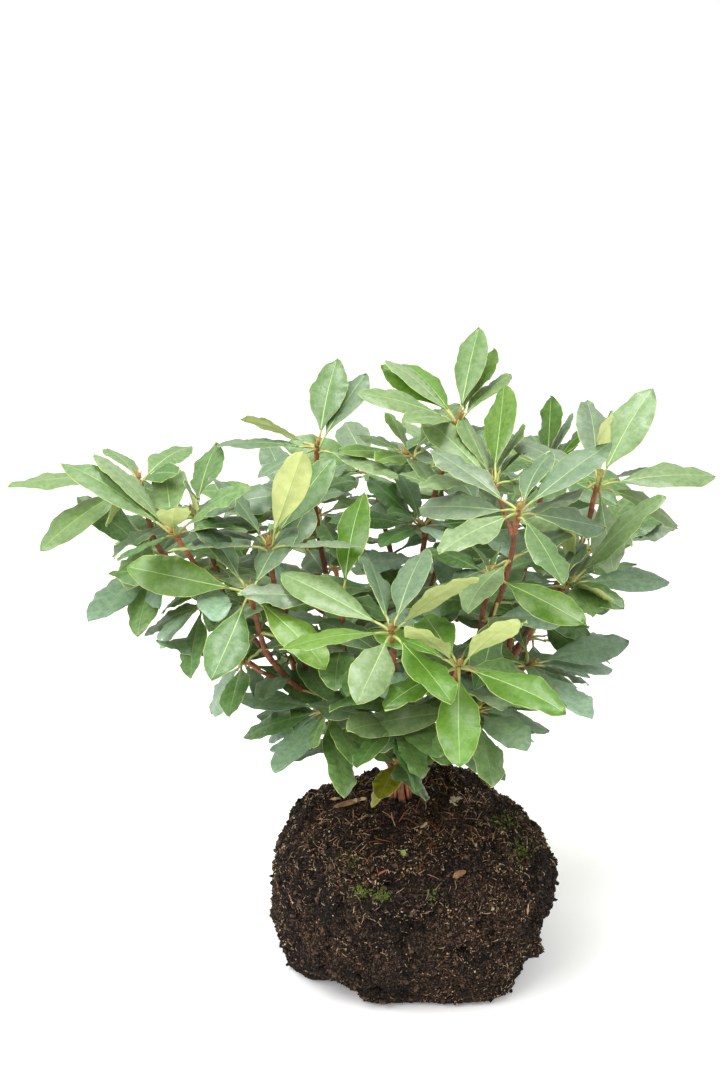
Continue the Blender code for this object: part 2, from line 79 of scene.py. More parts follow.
# ------------------------------------------------------------ the plant
# Whorls seen from the front: middle (metres), then one entry for each leaf that
# shows: the pixel of its tip, whether it comes forward (-1) or goes back (+1),
# its apparent width in pixels, its tone, its reach from the middle in cm.
# Tones: b bright, s strong green, v vivid yellow-green, k deep green, m middle,
# l light (a paler, greyer copy of the middle green for outer leaves that catch the most light: painted light), x deep
# in shade (a darker copy of the dark green for leaves inside the crown: painted shade), g grey sheen (the grey of the
# gloss's reflection painted into the colour: painted sheen), p pale, d dark, e dark grey, o olive, y the pale
# underside shows.
FRONT = {
    "foliage_left_front": ((-0.190, -0.170, 0.560), ((198, 516, +1, 27, "g", 13), (126, 566, +1, 42, "b", 13.9), (211, 680, -1, 44, "m", 13), (326, 668, -1, 36, "b", 13), (372, 589, +1, 26, "m", 13.7))),
    "foliage_left_inner": ((-0.170, -0.120, 0.595), ((303, 450, -1, 42, "y", 12.2), (334, 456, +1, 32, "m", 12.8), (210, 476, +1, 20, "g", 12.5), (222, 530, +1, 10, "d", 11), (365, 546, -1, 12, "g", 12))),
    # The paler tones here and in the next whorl (l, and p or m on some leaves) lighten the outer leaves at the left
    # end for the light that falls there: painted light.
    "foliage_left_middle": ((-0.275, -0.120, 0.610), ((61, 461, +1, 27, "l", 15), (95, 452, +1, 20, "p", 13.5), (176, 505, -1, 43, "y", 11), (118, 561, -1, 9, "d", 11))),
    "foliage_left_end": ((-0.325, 0.000, 0.630), ((8, 487, -1, 14, "p", 15.8), (40, 551, -1, 27, "l", 15), (107, 449, +1, 17, "l", 11), (190, 447, +1, 26, "l", 11.5), (178, 474, -1, 18, "m", 10), (104, 523, -1, 14, "y", 11))),
    "foliage_left_rear": ((-0.260, -0.030, 0.600), ((217, 444, +1, 30, "m", 12), (187, 486, -1, 8, "y", 10), (234, 508, -1, 20, "g", 11))),
    "foliage_upper_left": ((-0.120, 0.030, 0.660), ((240, 419, +1, 11, "y", 11.5), (216, 445, +1, 12, "g", 12.5), (258, 477, -1, 14, "g", 11), (337, 359, +1, 38, "m", 12.5), (366, 374, +1, 32, "g", 12.5), (399, 479, -1, 15, "p", 12))),
    "foliage_left_hanging": ((-0.252, -0.060, 0.500), ((160, 639, -1, 13, "e", 10), (158, 647, +1, 18, "e", 10), (191, 679, -1, 30, "d", 11.5))),
    "foliage_left_under": ((-0.305, -0.030, 0.545), ((88, 622, -1, 32, "e", 13), (137, 637, -1, 32, "d", 12), (158, 608, -1, 26, "e", 10))),
    "foliage_top": ((0.045, 0.040, 0.690), ((479, 327, +1, 36, "m", 12.5), (494, 350, +1, 28, "k", 12), (511, 374, +1, 22, "p", 11), (386, 359, +1, 16, "p", 12.5), (381, 366, +1, 26, "s", 13), (403, 362, +1, 22, "s", 12), (356, 393, -1, 22, "p", 13), (403, 420, -1, 16, "p", 11))),
    "foliage_upper_right": ((0.080, -0.050, 0.645), ((421, 416, +1, 30, "p", 12.5), (462, 417, +1, 22, "p", 11.5), (504, 384, +1, 33, "b", 13), (525, 425, +1, 14, "p", 10), (419, 488, -1, 17, "p", 11), (526, 450, +1, 12, "m", 10))),
    "foliage_right_front": ((0.100, -0.160, 0.650), ((430, 449, +1, 26, "g", 13.5), (418, 508, +1, 28, "g", 13), (439, 553, -1, 32, "p", 13), (551, 453, +1, 28, "g", 11), (612, 442, +1, 27, "g", 14), (606, 528, +1, 28, "g", 12), (563, 585, -1, 30, "m", 13))),
    "foliage_right_end": ((0.200, -0.040, 0.640), ((653, 387, +1, 36, "l", 14), (587, 400, +1, 32, "g", 13), (609, 409, -1, 16, "y", 12), (716, 476, +1, 26, "l", 14), (658, 468, +1, 7, "g", 9), (679, 528, +1, 17, "p", 12.5), (614, 576, +1, 38, "p", 13), (507, 438, +1, 20, "g", 13), (527, 518, -1, 18, "g", 11.5))),
    "foliage_upper_middle": ((-0.012, 0.060, 0.640), ((338, 452, -1, 16, "b", 11), (358, 435, +1, 14, "l", 10), (387, 412, +1, 18, "b", 10), (375, 462, -1, 25, "b", 10), (430, 482, -1, 22, "l", 10))),
    "foliage_centre_right": ((0.072, -0.160, 0.576), ((586, 625, -1, 33, "k", 13), (426, 549, +1, 26, "d", 11.5), (472, 545, +1, 10, "m", 8), (500, 548, +1, 9, "m", 7), (545, 561, +1, 20, "d", 10))),
    "foliage_right_under": ((0.170, -0.060, 0.525), ((670, 582, +1, 27, "e", 12.5), (614, 600, -1, 10, "y", 10), (592, 616, -1, 26, "d", 10), (591, 570, +1, 14, "d", 8), (664, 495, -1, 19, "l", 15.2), (566, 511, -1, 18, "y", 12))),
    "foliage_right_low": ((0.126, -0.088, 0.436), ((629, 641, +1, 30, "e", 13.5), (613, 669, +1, 20, "e", 12.5), (592, 718, -1, 26, "e", 13.5), (543, 690, -1, 26, "d", 11))),
    "foliage_centre_front": ((-0.037, -0.240, 0.546), ((366, 552, +1, 23, "g", 12), (426, 548, +1, 32, "g", 12.5), (479, 576, -1, 20, "y", 12.5), (281, 572, +1, 30, "p", 14.5), (279, 650, -1, 16, "b", 13.5), (357, 703, -1, 48, "p", 12.5), (452, 703, -1, 32, "s", 13))),
    "foliage_low_front": ((0.034, -0.250, 0.511), ((407, 626, -1, 20, "y", 11.5), (518, 619, -1, 25, "y", 12), (460, 767, -1, 46, "s", 13), (566, 712, -1, 34, "s", 13.5), (384, 708, -1, 28, "k", 12), (537, 682, +1, 28, "d", 12))),
    # The leaf tipped at (349, 730) takes the pale tone to lift it out of the shadow cast on it: painted light.
    "foliage_low_middle": ((0.056, -0.190, 0.430), ((349, 730, -1, 34, "p", 12.5), (440, 757, -1, 34, "d", 12), (492, 786, -1, 30, "d", 13), (527, 750, -1, 36, "e", 12.5), (549, 732, +1, 18, "e", 13))),
    "foliage_low_left": ((-0.108, -0.140, 0.405), ((234, 697, +1, 25, "e", 12.5), (275, 773, -1, 30, "e", 12.5), (346, 797, -1, 28, "d", 12.5), (313, 748, -1, 18, "d", 9), (268, 740, +1, 26, "e", 11), (243, 737, +1, 22, "d", 12), (357, 768, -1, 24, "d", 11))),
    "foliage_left_low": ((-0.203, -0.105, 0.450), ((229, 716, -1, 32, "d", 11), (212, 714, +1, 26, "e", 11), (262, 700, +1, 28, "e", 9), (330, 700, +1, 28, "d", 12))),
    "foliage_inner_left": ((-0.120, 0.080, 0.558), ((378, 494, +1, 14, "d", 10), (362, 520, -1, 12, "d", 9), (250, 490, +1, 20, "e", 11), (338, 560, -1, 30, "d", 10))),
    # The inner middle whorl takes the darker x tone: painted shade.
    "foliage_inner_middle": ((0.003, 0.025, 0.565), ((369, 478, +1, 26, "x", 11), (388, 512, -1, 14, "x", 8), (381, 546, -1, 26, "x", 10), (396, 470, +1, 24, "x", 10), (442, 540, -1, 18, "e", 9))),
    "foliage_centre_left": ((-0.090, -0.170, 0.553), ((364, 492, +1, 36, "v", 12.5), (388, 618, +1, 20, "d", 11), (285, 600, +1, 22, "e", 10))),
    # The leaf tipped at (300, 745) takes the middle tone to lift it out of the shade it sits in: painted light.
    "foliage_inner_low": ((-0.150, -0.050, 0.430), ((330, 700, -1, 28, "d", 11), (262, 700, -1, 28, "e", 11), (300, 745, -1, 24, "m", 11), (300, 640, +1, 24, "d", 10))),
    # The leaf tipped at (349, 730) takes the pale tone against the shadow cast on it: painted light.
    "foliage_low_centre": ((-0.030, -0.165, 0.400), ((349, 730, -1, 34, "p", 12), (420, 778, -1, 30, "d", 11), (357, 768, -1, 24, "d", 11), (446, 755, -1, 30, "d", 12), (416, 791, -1, 24, "d", 12))),
    "foliage_foot": ((-0.026, -0.075, 0.300), ((379, 800, -1, 25, "o", 6.5), (371, 807, -1, 13, "o", 6.2), (422, 778, -1, 30, "d", 8.5), (426, 801, -1, 12, "g", 7))),
}
# Leaves of far whorls that rise above the near ones.
BEHIND = {
    "foliage_rear_top": ((551, 397, +1, 26, "k", 11.0), (573, 413, +1, 14, "g", 10.0)),
}
# Whorls on the far side: the middle, the bearing of the first leaf.
REAR = {
    "foliage_rear_top": ((0.162, 0.140, 0.597), 84),
    "foliage_rear_left_end": ((-0.266, 0.160, 0.494), 150),
    "foliage_rear_left": ((-0.160, 0.200, 0.527), 20),
    "foliage_rear_middle": ((-0.055, 0.220, 0.567), 70),
    "foliage_rear_upper": ((0.053, 0.250, 0.560), 95),
    "foliage_rear_right": ((0.121, 0.270, 0.480), 110),
    "foliage_rear_right_end": ((0.225, 0.170, 0.480), 30),
    "foliage_rear_low_left": ((-0.104, 0.280, 0.410), 100),
    "foliage_rear_low_middle": ((0.015, 0.215, 0.395), 60),
    "foliage_rear_low_right": ((0.147, 0.130, 0.375), 15),
}
# Boughs: where each starts (a bearing on the fork's ring, or a bough and the
# share of its length), the points it bends through, the whorl it ends at.
STEM_AT = (-0.021, -0.027)
SEAT, FORK, RING = 0.225, 0.262, 0.0115
BOUGHS = {
    "bough_left": (200, ((-0.055, -0.045, 0.315), (-0.125, -0.085, 0.390), (-0.172, -0.130, 0.465)), "foliage_left_front"),
    "bough_centre_front": (256, ((-0.025, -0.075, 0.330), (-0.030, -0.160, 0.430)), "foliage_centre_front"),
    "bough_low_front": (312, ((0.004, -0.075, 0.320), (0.022, -0.160, 0.395)), "foliage_low_front"),
    "bough_right": (8, ((0.030, -0.040, 0.320), (0.075, -0.050, 0.385), (0.112, -0.060, 0.441), (0.140, -0.060, 0.500), (0.180, -0.050, 0.560)), "foliage_right_end"),
    "bough_top": (70, ((-0.008, -0.005, 0.330), (0.000, 0.030, 0.453), (0.012, 0.052, 0.562)), "foliage_top"),
    "bough_rear": (135, ((-0.045, 0.015, 0.325), (-0.105, 0.110, 0.420)), "foliage_rear_left"),
    "bough_low_left": (("bough_left", 0.20), ((-0.085, -0.085, 0.340),), "foliage_low_left"),
    "bough_centre_left": (("bough_left", 0.30), ((-0.085, -0.095, 0.410), (-0.088, -0.140, 0.480)), "foliage_centre_left"),
    "bough_left_inner": (("bough_left", 0.50), ((-0.142, -0.095, 0.470), (-0.163, -0.118, 0.540)), "foliage_left_inner"),
    "bough_left_end": (("bough_left", 0.72), ((-0.215, -0.090, 0.500), (-0.262, -0.055, 0.525), (-0.305, -0.025, 0.560)), "foliage_left_end"),
    "bough_left_middle": (("bough_left_end", 0.24), ((-0.240, -0.112, 0.548),), "foliage_left_middle"),
    "bough_left_rear": (("bough_left_end", 0.30), ((-0.238, -0.050, 0.548),), "foliage_left_rear"),
    "bough_upper_left": (("bough_rear", 0.30), ((-0.095, 0.025, 0.440), (-0.122, 0.050, 0.560)), "foliage_upper_left"),
    "bough_rear_left_end": (("bough_rear", 0.60), ((-0.180, 0.130, 0.455),), "foliage_rear_left_end"),
    "bough_rear_low": (("bough_rear", 0.34), ((-0.085, 0.160, 0.355),), "foliage_rear_low_left"),
    "bough_rear_middle": (("bough_top", 0.28), ((-0.025, 0.110, 0.460),), "foliage_rear_middle"),
    "bough_rear_upper": (("bough_top", 0.42), ((0.035, 0.140, 0.500),), "foliage_rear_upper"),
    "bough_rear_top": (("bough_right", 0.50), ((0.128, 0.040, 0.505),), "foliage_rear_top"),
    "bough_rear_right": (("bough_right", 0.24), ((0.130, 0.060, 0.400),), "foliage_rear_right_end"),
    "bough_right_front": (("bough_right", 0.16), ((0.045, -0.080, 0.395), (0.066, -0.120, 0.481), (0.090, -0.142, 0.565)), "foliage_right_front"),
    "bough_centre_right": (("bough_right_front", 0.50), ((0.066, -0.148, 0.530),), "foliage_centre_right"),
}

# ------------------------------------------------------------ smooth noise
def lattice(ix, iy, iz, seed):
    h = (ix * 374761393 + iy * 668265263 + iz * 1103515245 + seed * 974634777) & 0xFFFFFFFF
    h = ((h ^ (h >> 13)) * 1274126177) & 0xFFFFFFFF
    return ((h ^ (h >> 16)) & 0xFFFF) / 65535.0


def noise(p, seed=0):
    """Value noise from -1 to 1 at points (n, 3)."""
    i = np.floor(p).astype(np.int64)
    f = p - i
    u = f * f * (3.0 - 2.0 * f)
    out = np.zeros(len(p))
    for dx in (0, 1):
        wx = u[:, 0] if dx else 1.0 - u[:, 0]
        for dy in (0, 1):
            wy = u[:, 1] if dy else 1.0 - u[:, 1]
            for dz in (0, 1):
                wz = u[:, 2] if dz else 1.0 - u[:, 2]
                out += wx * wy * wz * lattice(i[:, 0] + dx, i[:, 1] + dy, i[:, 2] + dz, seed)
    return out * 2.0 - 1.0


def rough(p, octaves=4, seed=0):
    return sum(noise(p * 2.0 ** k, seed + k) * 0.5 ** k for k in range(octaves))


def cells(p, seed=0):
    """Distance to the nearest and second nearest scattered point."""
    i = np.floor(p).astype(np.int64)
    f1 = np.full(len(p), 9.0)
    f2 = np.full(len(p), 9.0)
    for dx in (-1, 0, 1):
        for dy in (-1, 0, 1):
            for dz in (-1, 0, 1):
                c = i + np.array((dx, dy, dz))
                spot = np.stack([c[:, k] + lattice(c[:, 0], c[:, 1], c[:, 2], seed + 11 * k) for k in range(3)], 1)
                d = np.linalg.norm(p - spot, axis=1)
                f2 = np.minimum(f2, np.maximum(f1, d))
                f1 = np.minimum(f1, d)
    return f1, f2


def unit(v):
    v = np.asarray(v, float)
    return v / (np.linalg.norm(v) or 1.0)


UP = np.array((0.0, 0.0, 1.0))


def across_up(d):
    """The level side and the upper side of a direction."""
    up = UP - d * d[2]
    up = unit(up if np.linalg.norm(up) > 1e-3 else np.array((0.0, 1.0, 0.0)))
    return np.cross(d, up), up


# ------------------------------------------------------------ materials
def linear(rgb):
    return tuple(((c / 255.0 + 0.055) / 1.055) ** 2.4 if c > 10 else c / 255.0 / 12.92 for c in rgb)


def material(name, rgb, rough_value=0.5, spec=0.5, sheen=0.0):
    m = bpy.data.materials.new(name)
    m.use_nodes = True
    b = m.node_tree.nodes["Principled BSDF"]
    b.inputs["Base Color"].default_value = (*linear(rgb), 1.0)
    b.inputs["Roughness"].default_value = rough_value
    b.inputs["Specular IOR Level"].default_value = spec
    m.diffuse_color = (*linear(rgb), 1.0)
    return m, b


def mottled(name, rgb, other, scale, amount, rough_lo, rough_hi, bump=0.0, bump_scale=None, spec=0.5, detail=4.0, contrast=(0.35, 0.65), grit=0.5):
    """A material whose colour drifts to another by noise, with bump and uneven gloss."""
    m, b = material(name, rgb, rough_lo, spec)
    n, link = m.node_tree.nodes, m.node_tree.links
    where = n.new("ShaderNodeTexCoord")
    t = n.new("ShaderNodeTexNoise")
    t.inputs["Scale"].default_value = scale
    t.inputs["Detail"].default_value = detail
    t.inputs["Roughness"].default_value = grit
    link.new(where.outputs["Object"], t.inputs["Vector"])
    span = n.new("ShaderNodeMapRange")
    span.inputs["From Min"].default_value, span.inputs["From Max"].default_value = contrast
    span.inputs["To Max"].default_value = amount
    link.new(t.outputs["Fac"], span.inputs["Value"])
    mix = n.new("ShaderNodeMix")
    mix.data_type = "RGBA"
    mix.inputs[6].default_value = (*linear(rgb), 1.0)
    mix.inputs[7].default_value = (*linear(other), 1.0)
    link.new(span.outputs["Result"], mix.inputs[0])
    link.new(mix.outputs[2], b.inputs["Base Color"])
    gloss = n.new("ShaderNodeMapRange")
    gloss.inputs["To Min"].default_value, gloss.inputs["To Max"].default_value = rough_lo, rough_hi
    link.new(t.outputs["Fac"], gloss.inputs["Value"])
    link.new(gloss.outputs["Result"], b.inputs["Roughness"])
    if bump:
        t2 = n.new("ShaderNodeTexNoise")
        t2.inputs["Scale"].default_value = bump_scale or scale * 6.0
        t2.inputs["Detail"].default_value = 6.0
        link.new(where.outputs["Object"], t2.inputs["Vector"])
        bp = n.new("ShaderNodeBump")
        bp.inputs["Strength"].default_value = 1.0
        bp.inputs["Distance"].default_value = bump
        link.new(t2.outputs["Fac"], bp.inputs["Height"])
        link.new(bp.outputs["Normal"], b.inputs["Normal"])
    return m


# Blade tones: (colour, what it drifts to, roughness)
TONES = {
    "b": (((86, 121, 39), (104, 137, 56)), ((95, 127, 45), (75, 109, 37)), ((80, 116, 43), (100, 130, 59))),
    "s": (((78, 120, 30), (96, 134, 46)), ((72, 113, 27), (90, 127, 42))),
    # x: a darker copy of the dark green, for leaves deep inside the crown: painted shade
    "x": (((66, 106, 46), (86, 126, 61)), ((58, 96, 41), (78, 116, 55))),
    # l: a paler, greyer copy of the middle green, for outer leaves that catch the most light: painted light
    "l": (((95, 124, 72), (116, 140, 92)), ((89, 119, 67), (110, 135, 87))),
    "v": (((58, 99, 9), (77, 113, 16)),),
    "k": (((60, 101, 12), (89, 120, 28)), ((70, 106, 19), (51, 88, 11))),
    "m": (((82, 114, 59), (103, 129, 75)), ((75, 107, 54), (94, 122, 72)), ((88, 120, 63), (70, 104, 53))),
    # g: the grey of the gloss's reflection painted into the blade's colour: painted sheen
    "g": (((94, 115, 85), (113, 130, 102)), ((86, 112, 81), (105, 126, 95)), ((99, 120, 88), (82, 108, 76))),
    "p": (((102, 127, 81), (123, 144, 99)), ((95, 123, 70), (116, 139, 88))),
    "d": (((79, 114, 57), (109, 138, 80)), ((69, 103, 51), (94, 126, 71)), ((90, 122, 64), (64, 99, 48))),
    "e": (((108, 138, 111), (134, 159, 132)), ((99, 128, 100), (122, 149, 120))),
    "o": (((144, 136, 27), (110, 113, 22)),),
    "y": (((82, 114, 59), (103, 129, 75)),),
}
LEAF_MATS, TONE_AT = [], {}
for tone, shades in TONES.items():
    if tone == "y":
        continue
    TONE_AT[tone] = []
    for i, (rgb, other) in enumerate(shades):
        TONE_AT[tone].append(len(LEAF_MATS))
        LEAF_MATS.append(mottled(f"leaf_{tone}{i}", rgb, other, 170.0, 1.0, 0.30, 0.50, bump=0.00030, bump_scale=420.0, spec=0.5, detail=8.0, contrast=(0.39, 0.61), grit=0.62))
TONE_AT["y"] = TONE_AT["m"]
MIDRIB = len(LEAF_MATS); LEAF_MATS.append(mottled("leaf_midrib", (166, 190, 122), (142, 172, 104), 160.0, 0.8, 0.42, 0.55))
MARGIN = len(LEAF_MATS); LEAF_MATS.append(mottled("leaf_margin", (188, 204, 120), (158, 178, 96), 120.0, 0.9, 0.45, 0.60))
MIDRIB_OLD = len(LEAF_MATS); LEAF_MATS.append(mottled("leaf_midrib_old", (140, 164, 104), (118, 146, 90), 160.0, 0.8, 0.42, 0.55))
UNDER = len(LEAF_MATS); LEAF_MATS.append(mottled("leaf_underside", (206, 212, 142), (186, 198, 122), 90.0, 0.9, 0.55, 0.70, bump=0.0003, bump_scale=500.0, spec=0.3))
UNDER_DARK = len(LEAF_MATS); LEAF_MATS.append(mottled("leaf_underside_old", (152, 166, 108), (136, 152, 96), 90.0, 0.9, 0.55, 0.70, bump=0.0003, bump_scale=500.0, spec=0.3))
PETIOLE = len(LEAF_MATS); LEAF_MATS.append(mottled("leaf_petiole", (162, 180, 96), (160, 142, 84), 90.0, 0.9, 0.42, 0.55))
PETIOLE_OLD = len(LEAF_MATS); LEAF_MATS.append(mottled("leaf_petiole_old", (138, 150, 84), (140, 110, 70), 90.0, 0.9, 0.45, 0.60))
OLD = {"d", "e", "o", "x"}


# ------------------------------------------------------------ gathering meshes
class Heap:
    """Many small meshes joined into pieces of bounded size."""

    def __init__(self, name, mats, slot, limit=176000):
        self.name, self.mats, self.slot, self.limit = name, mats, slot, limit
        self.parts = [self.fresh()]

    def fresh(self):
        return {"v": [], "q": [], "t": [], "mq": [], "mt": [], "n": 0, "count": 0}

    def add(self, verts, quads=None, tris=None, mq=0, mt=0):
        p = self.parts[-1]
        more = (0 if quads is None else 2 * len(quads)) + (0 if tris is None else len(tris))
        if p["count"] + more > self.limit:
            self.parts.append(self.fresh())
            p = self.parts[-1]
        p["v"].append(np.asarray(verts, float))
        if quads is not None and len(quads):
            p["q"].append(np.asarray(quads, int) + p["n"])
            p["mq"].append(np.broadcast_to(np.asarray(mq, int), (len(quads),)).copy())
        if tris is not None and len(tris):
            p["t"].append(np.asarray(tris, int) + p["n"])
            p["mt"].append(np.broadcast_to(np.asarray(mt, int), (len(tris),)).copy())
        p["n"] += len(verts)
        p["count"] += more

    def build(self, nodes=(), smooth=True):
        made = []
        for k, p in enumerate(self.parts):
            if not p["n"]:
                continue
            v = np.concatenate(p["v"])
            q = np.concatenate(p["q"]) if p["q"] else np.zeros((0, 4), int)
            t = np.concatenate(p["t"]) if p["t"] else np.zeros((0, 3), int)
            mq = np.concatenate(p["mq"]) if p["mq"] else np.zeros(0, int)
            mt = np.concatenate(p["mt"]) if p["mt"] else np.zeros(0, int)
            mat = np.concatenate((mq, mt))
            used = sorted(set(mat.tolist()))
            name = self.name if len(self.parts) == 1 else f"{self.name}_{k + 1}"
            me = bpy.data.meshes.new(name)
            me.vertices.add(len(v))
            me.vertices.foreach_set("co", v.ravel())
            me.loops.add(q.size + t.size)
            me.loops.foreach_set("vertex_index", np.concatenate((q.ravel(), t.ravel())))
            me.polygons.add(len(q) + len(t))
            starts = np.concatenate((np.arange(len(q)) * 4, q.size + np.arange(len(t)) * 3))
            me.polygons.foreach_set("loop_start", starts)
            me.polygons.foreach_set("loop_total", np.concatenate((np.full(len(q), 4), np.full(len(t), 3))))
            back = {m: i for i, m in enumerate(used)}
            me.polygons.foreach_set("material_index", np.array([back[m] for m in mat.tolist()], int))
            me.polygons.foreach_set("use_smooth", np.full(len(q) + len(t), smooth))
            for m in used:
                me.materials.append(self.mats[m])
            me.update(calc_edges=True)
            me.validate()
            o = bpy.data.objects.new(name, me)
            bpy.context.scene.collection.objects.link(o)
            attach(o, "root")
            if not made and nodes:
                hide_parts(*nodes)
            made.append(o)
        return made


# ------------------------------------------------------------ tubes
def tube(path, radii, sides, ridges=None, cap=True):
    """Closed tube along a path (n, 3): vertices, quads, triangles."""
    path = np.asarray(path, float)
    n = len(path)
    ahead = np.gradient(path, axis=0)
    ahead /= np.linalg.norm(ahead, axis=1)[:, None] + 1e-12
    side = np.cross(ahead[0], UP if abs(ahead[0][2]) < 0.95 else np.array((1.0, 0.0, 0.0)))
    rows = []
    turn = np.linspace(0.0, 2.0 * math.pi, sides, endpoint=False)
    for i in range(n):
        side = unit(side - ahead[i] * (side @ ahead[i]))
        other = np.cross(ahead[i], side)
        r = radii[i] * (1.0 if ridges is None else ridges[i])
        rows.append(path[i] + (np.cos(turn) * r)[:, None] * side + (np.sin(turn) * r)[:, None] * other)
    v = np.concatenate(rows)
    a = np.arange(sides)
    b = (a + 1) % sides
    quads = np.concatenate([np.stack((i * sides + a, i * sides + b, (i + 1) * sides + b, (i + 1) * sides + a), 1) for i in range(n - 1)])
    tris = None
    if cap:
        v = np.concatenate((v, path[:1], path[-1:]))
        tris = np.concatenate((np.stack((np.full(sides, n * sides), b, a), 1),
                               np.stack((np.full(sides, n * sides + 1), (n - 1) * sides + a, (n - 1) * sides + b), 1)))
    return v, quads, tris


def curve(points, per=24):
    """Smooth curve through points, with the length along it."""
    pts = [np.asarray(p, float) for p in points]
    pts = [pts[0] * 2.0 - pts[1]] + pts + [pts[-1] * 2.0 - pts[-2]]
    out = []
    for i in range(1, len(pts) - 2):
        a, b, c, d = pts[i - 1:i + 3]
        t = np.arange(per)[:, None] / per
        out.append(0.5 * (2.0 * b + (c - a) * t + (2.0 * a - 5.0 * b + 4.0 * c - d) * t * t + (3.0 * b - a - 3.0 * c + d) * t ** 3))
    line = np.concatenate(out + [pts[-2][None]])
    along = np.concatenate(((0.0,), np.cumsum(np.linalg.norm(np.diff(line, axis=0), axis=1))))
    return line, along


def at(line, along, s):
    s = np.clip(s, 0.0, along[-1])
    return np.stack([np.interp(s, along, line[:, k]) for k in range(3)], -1)


# ------------------------------------------------------------ one leaf
ROWS = 20
COLS = 12
LEAF_QUADS, LEAF_KIND = [], []
for i in range(ROWS):
    for j in range(COLS - 1):
        a = i * COLS + j
        LEAF_QUADS.append((a, a + 1, a + COLS + 1, a + COLS))
        LEAF_KIND.append(1 if j in (0, COLS - 2) else 2 if j == 5 else 0)
UNDER_AT = (ROWS + 1) * COLS


def low_index(i, j):
    if j == 0 or j == COLS - 1:
        return i * COLS + j
    return UNDER_AT + i * (COLS - 2) + j - 1


for i in range(ROWS):
    for j in range(COLS - 1):
        LEAF_QUADS.append((low_index(i, j), low_index(i + 1, j), low_index(i + 1, j + 1), low_index(i, j + 1)))
        LEAF_KIND.append(1 if j in (0, COLS - 2) else 4 if j == 5 else 3)
LEAF_TRIS = []
for i, flip in ((0, False), (ROWS, True)):              # close the two ends
    for j in range(COLS - 1):
        quad = (i * COLS + j, i * COLS + j + 1, low_index(i, j + 1), low_index(i, j))
        quad = tuple(reversed(quad)) if not flip else quad
        for tri in ((quad[0], quad[1], quad[2]), (quad[0], quad[2], quad[3])):
            if len(set(tri)) == 3:
                LEAF_TRIS.append(tri)
LEAF_QUADS, LEAF_KIND, LEAF_TRIS = np.array(LEAF_QUADS), np.array(LEAF_KIND), np.array(LEAF_TRIS)
T0 = np.linspace(0.0, 1.0, ROWS + 1)


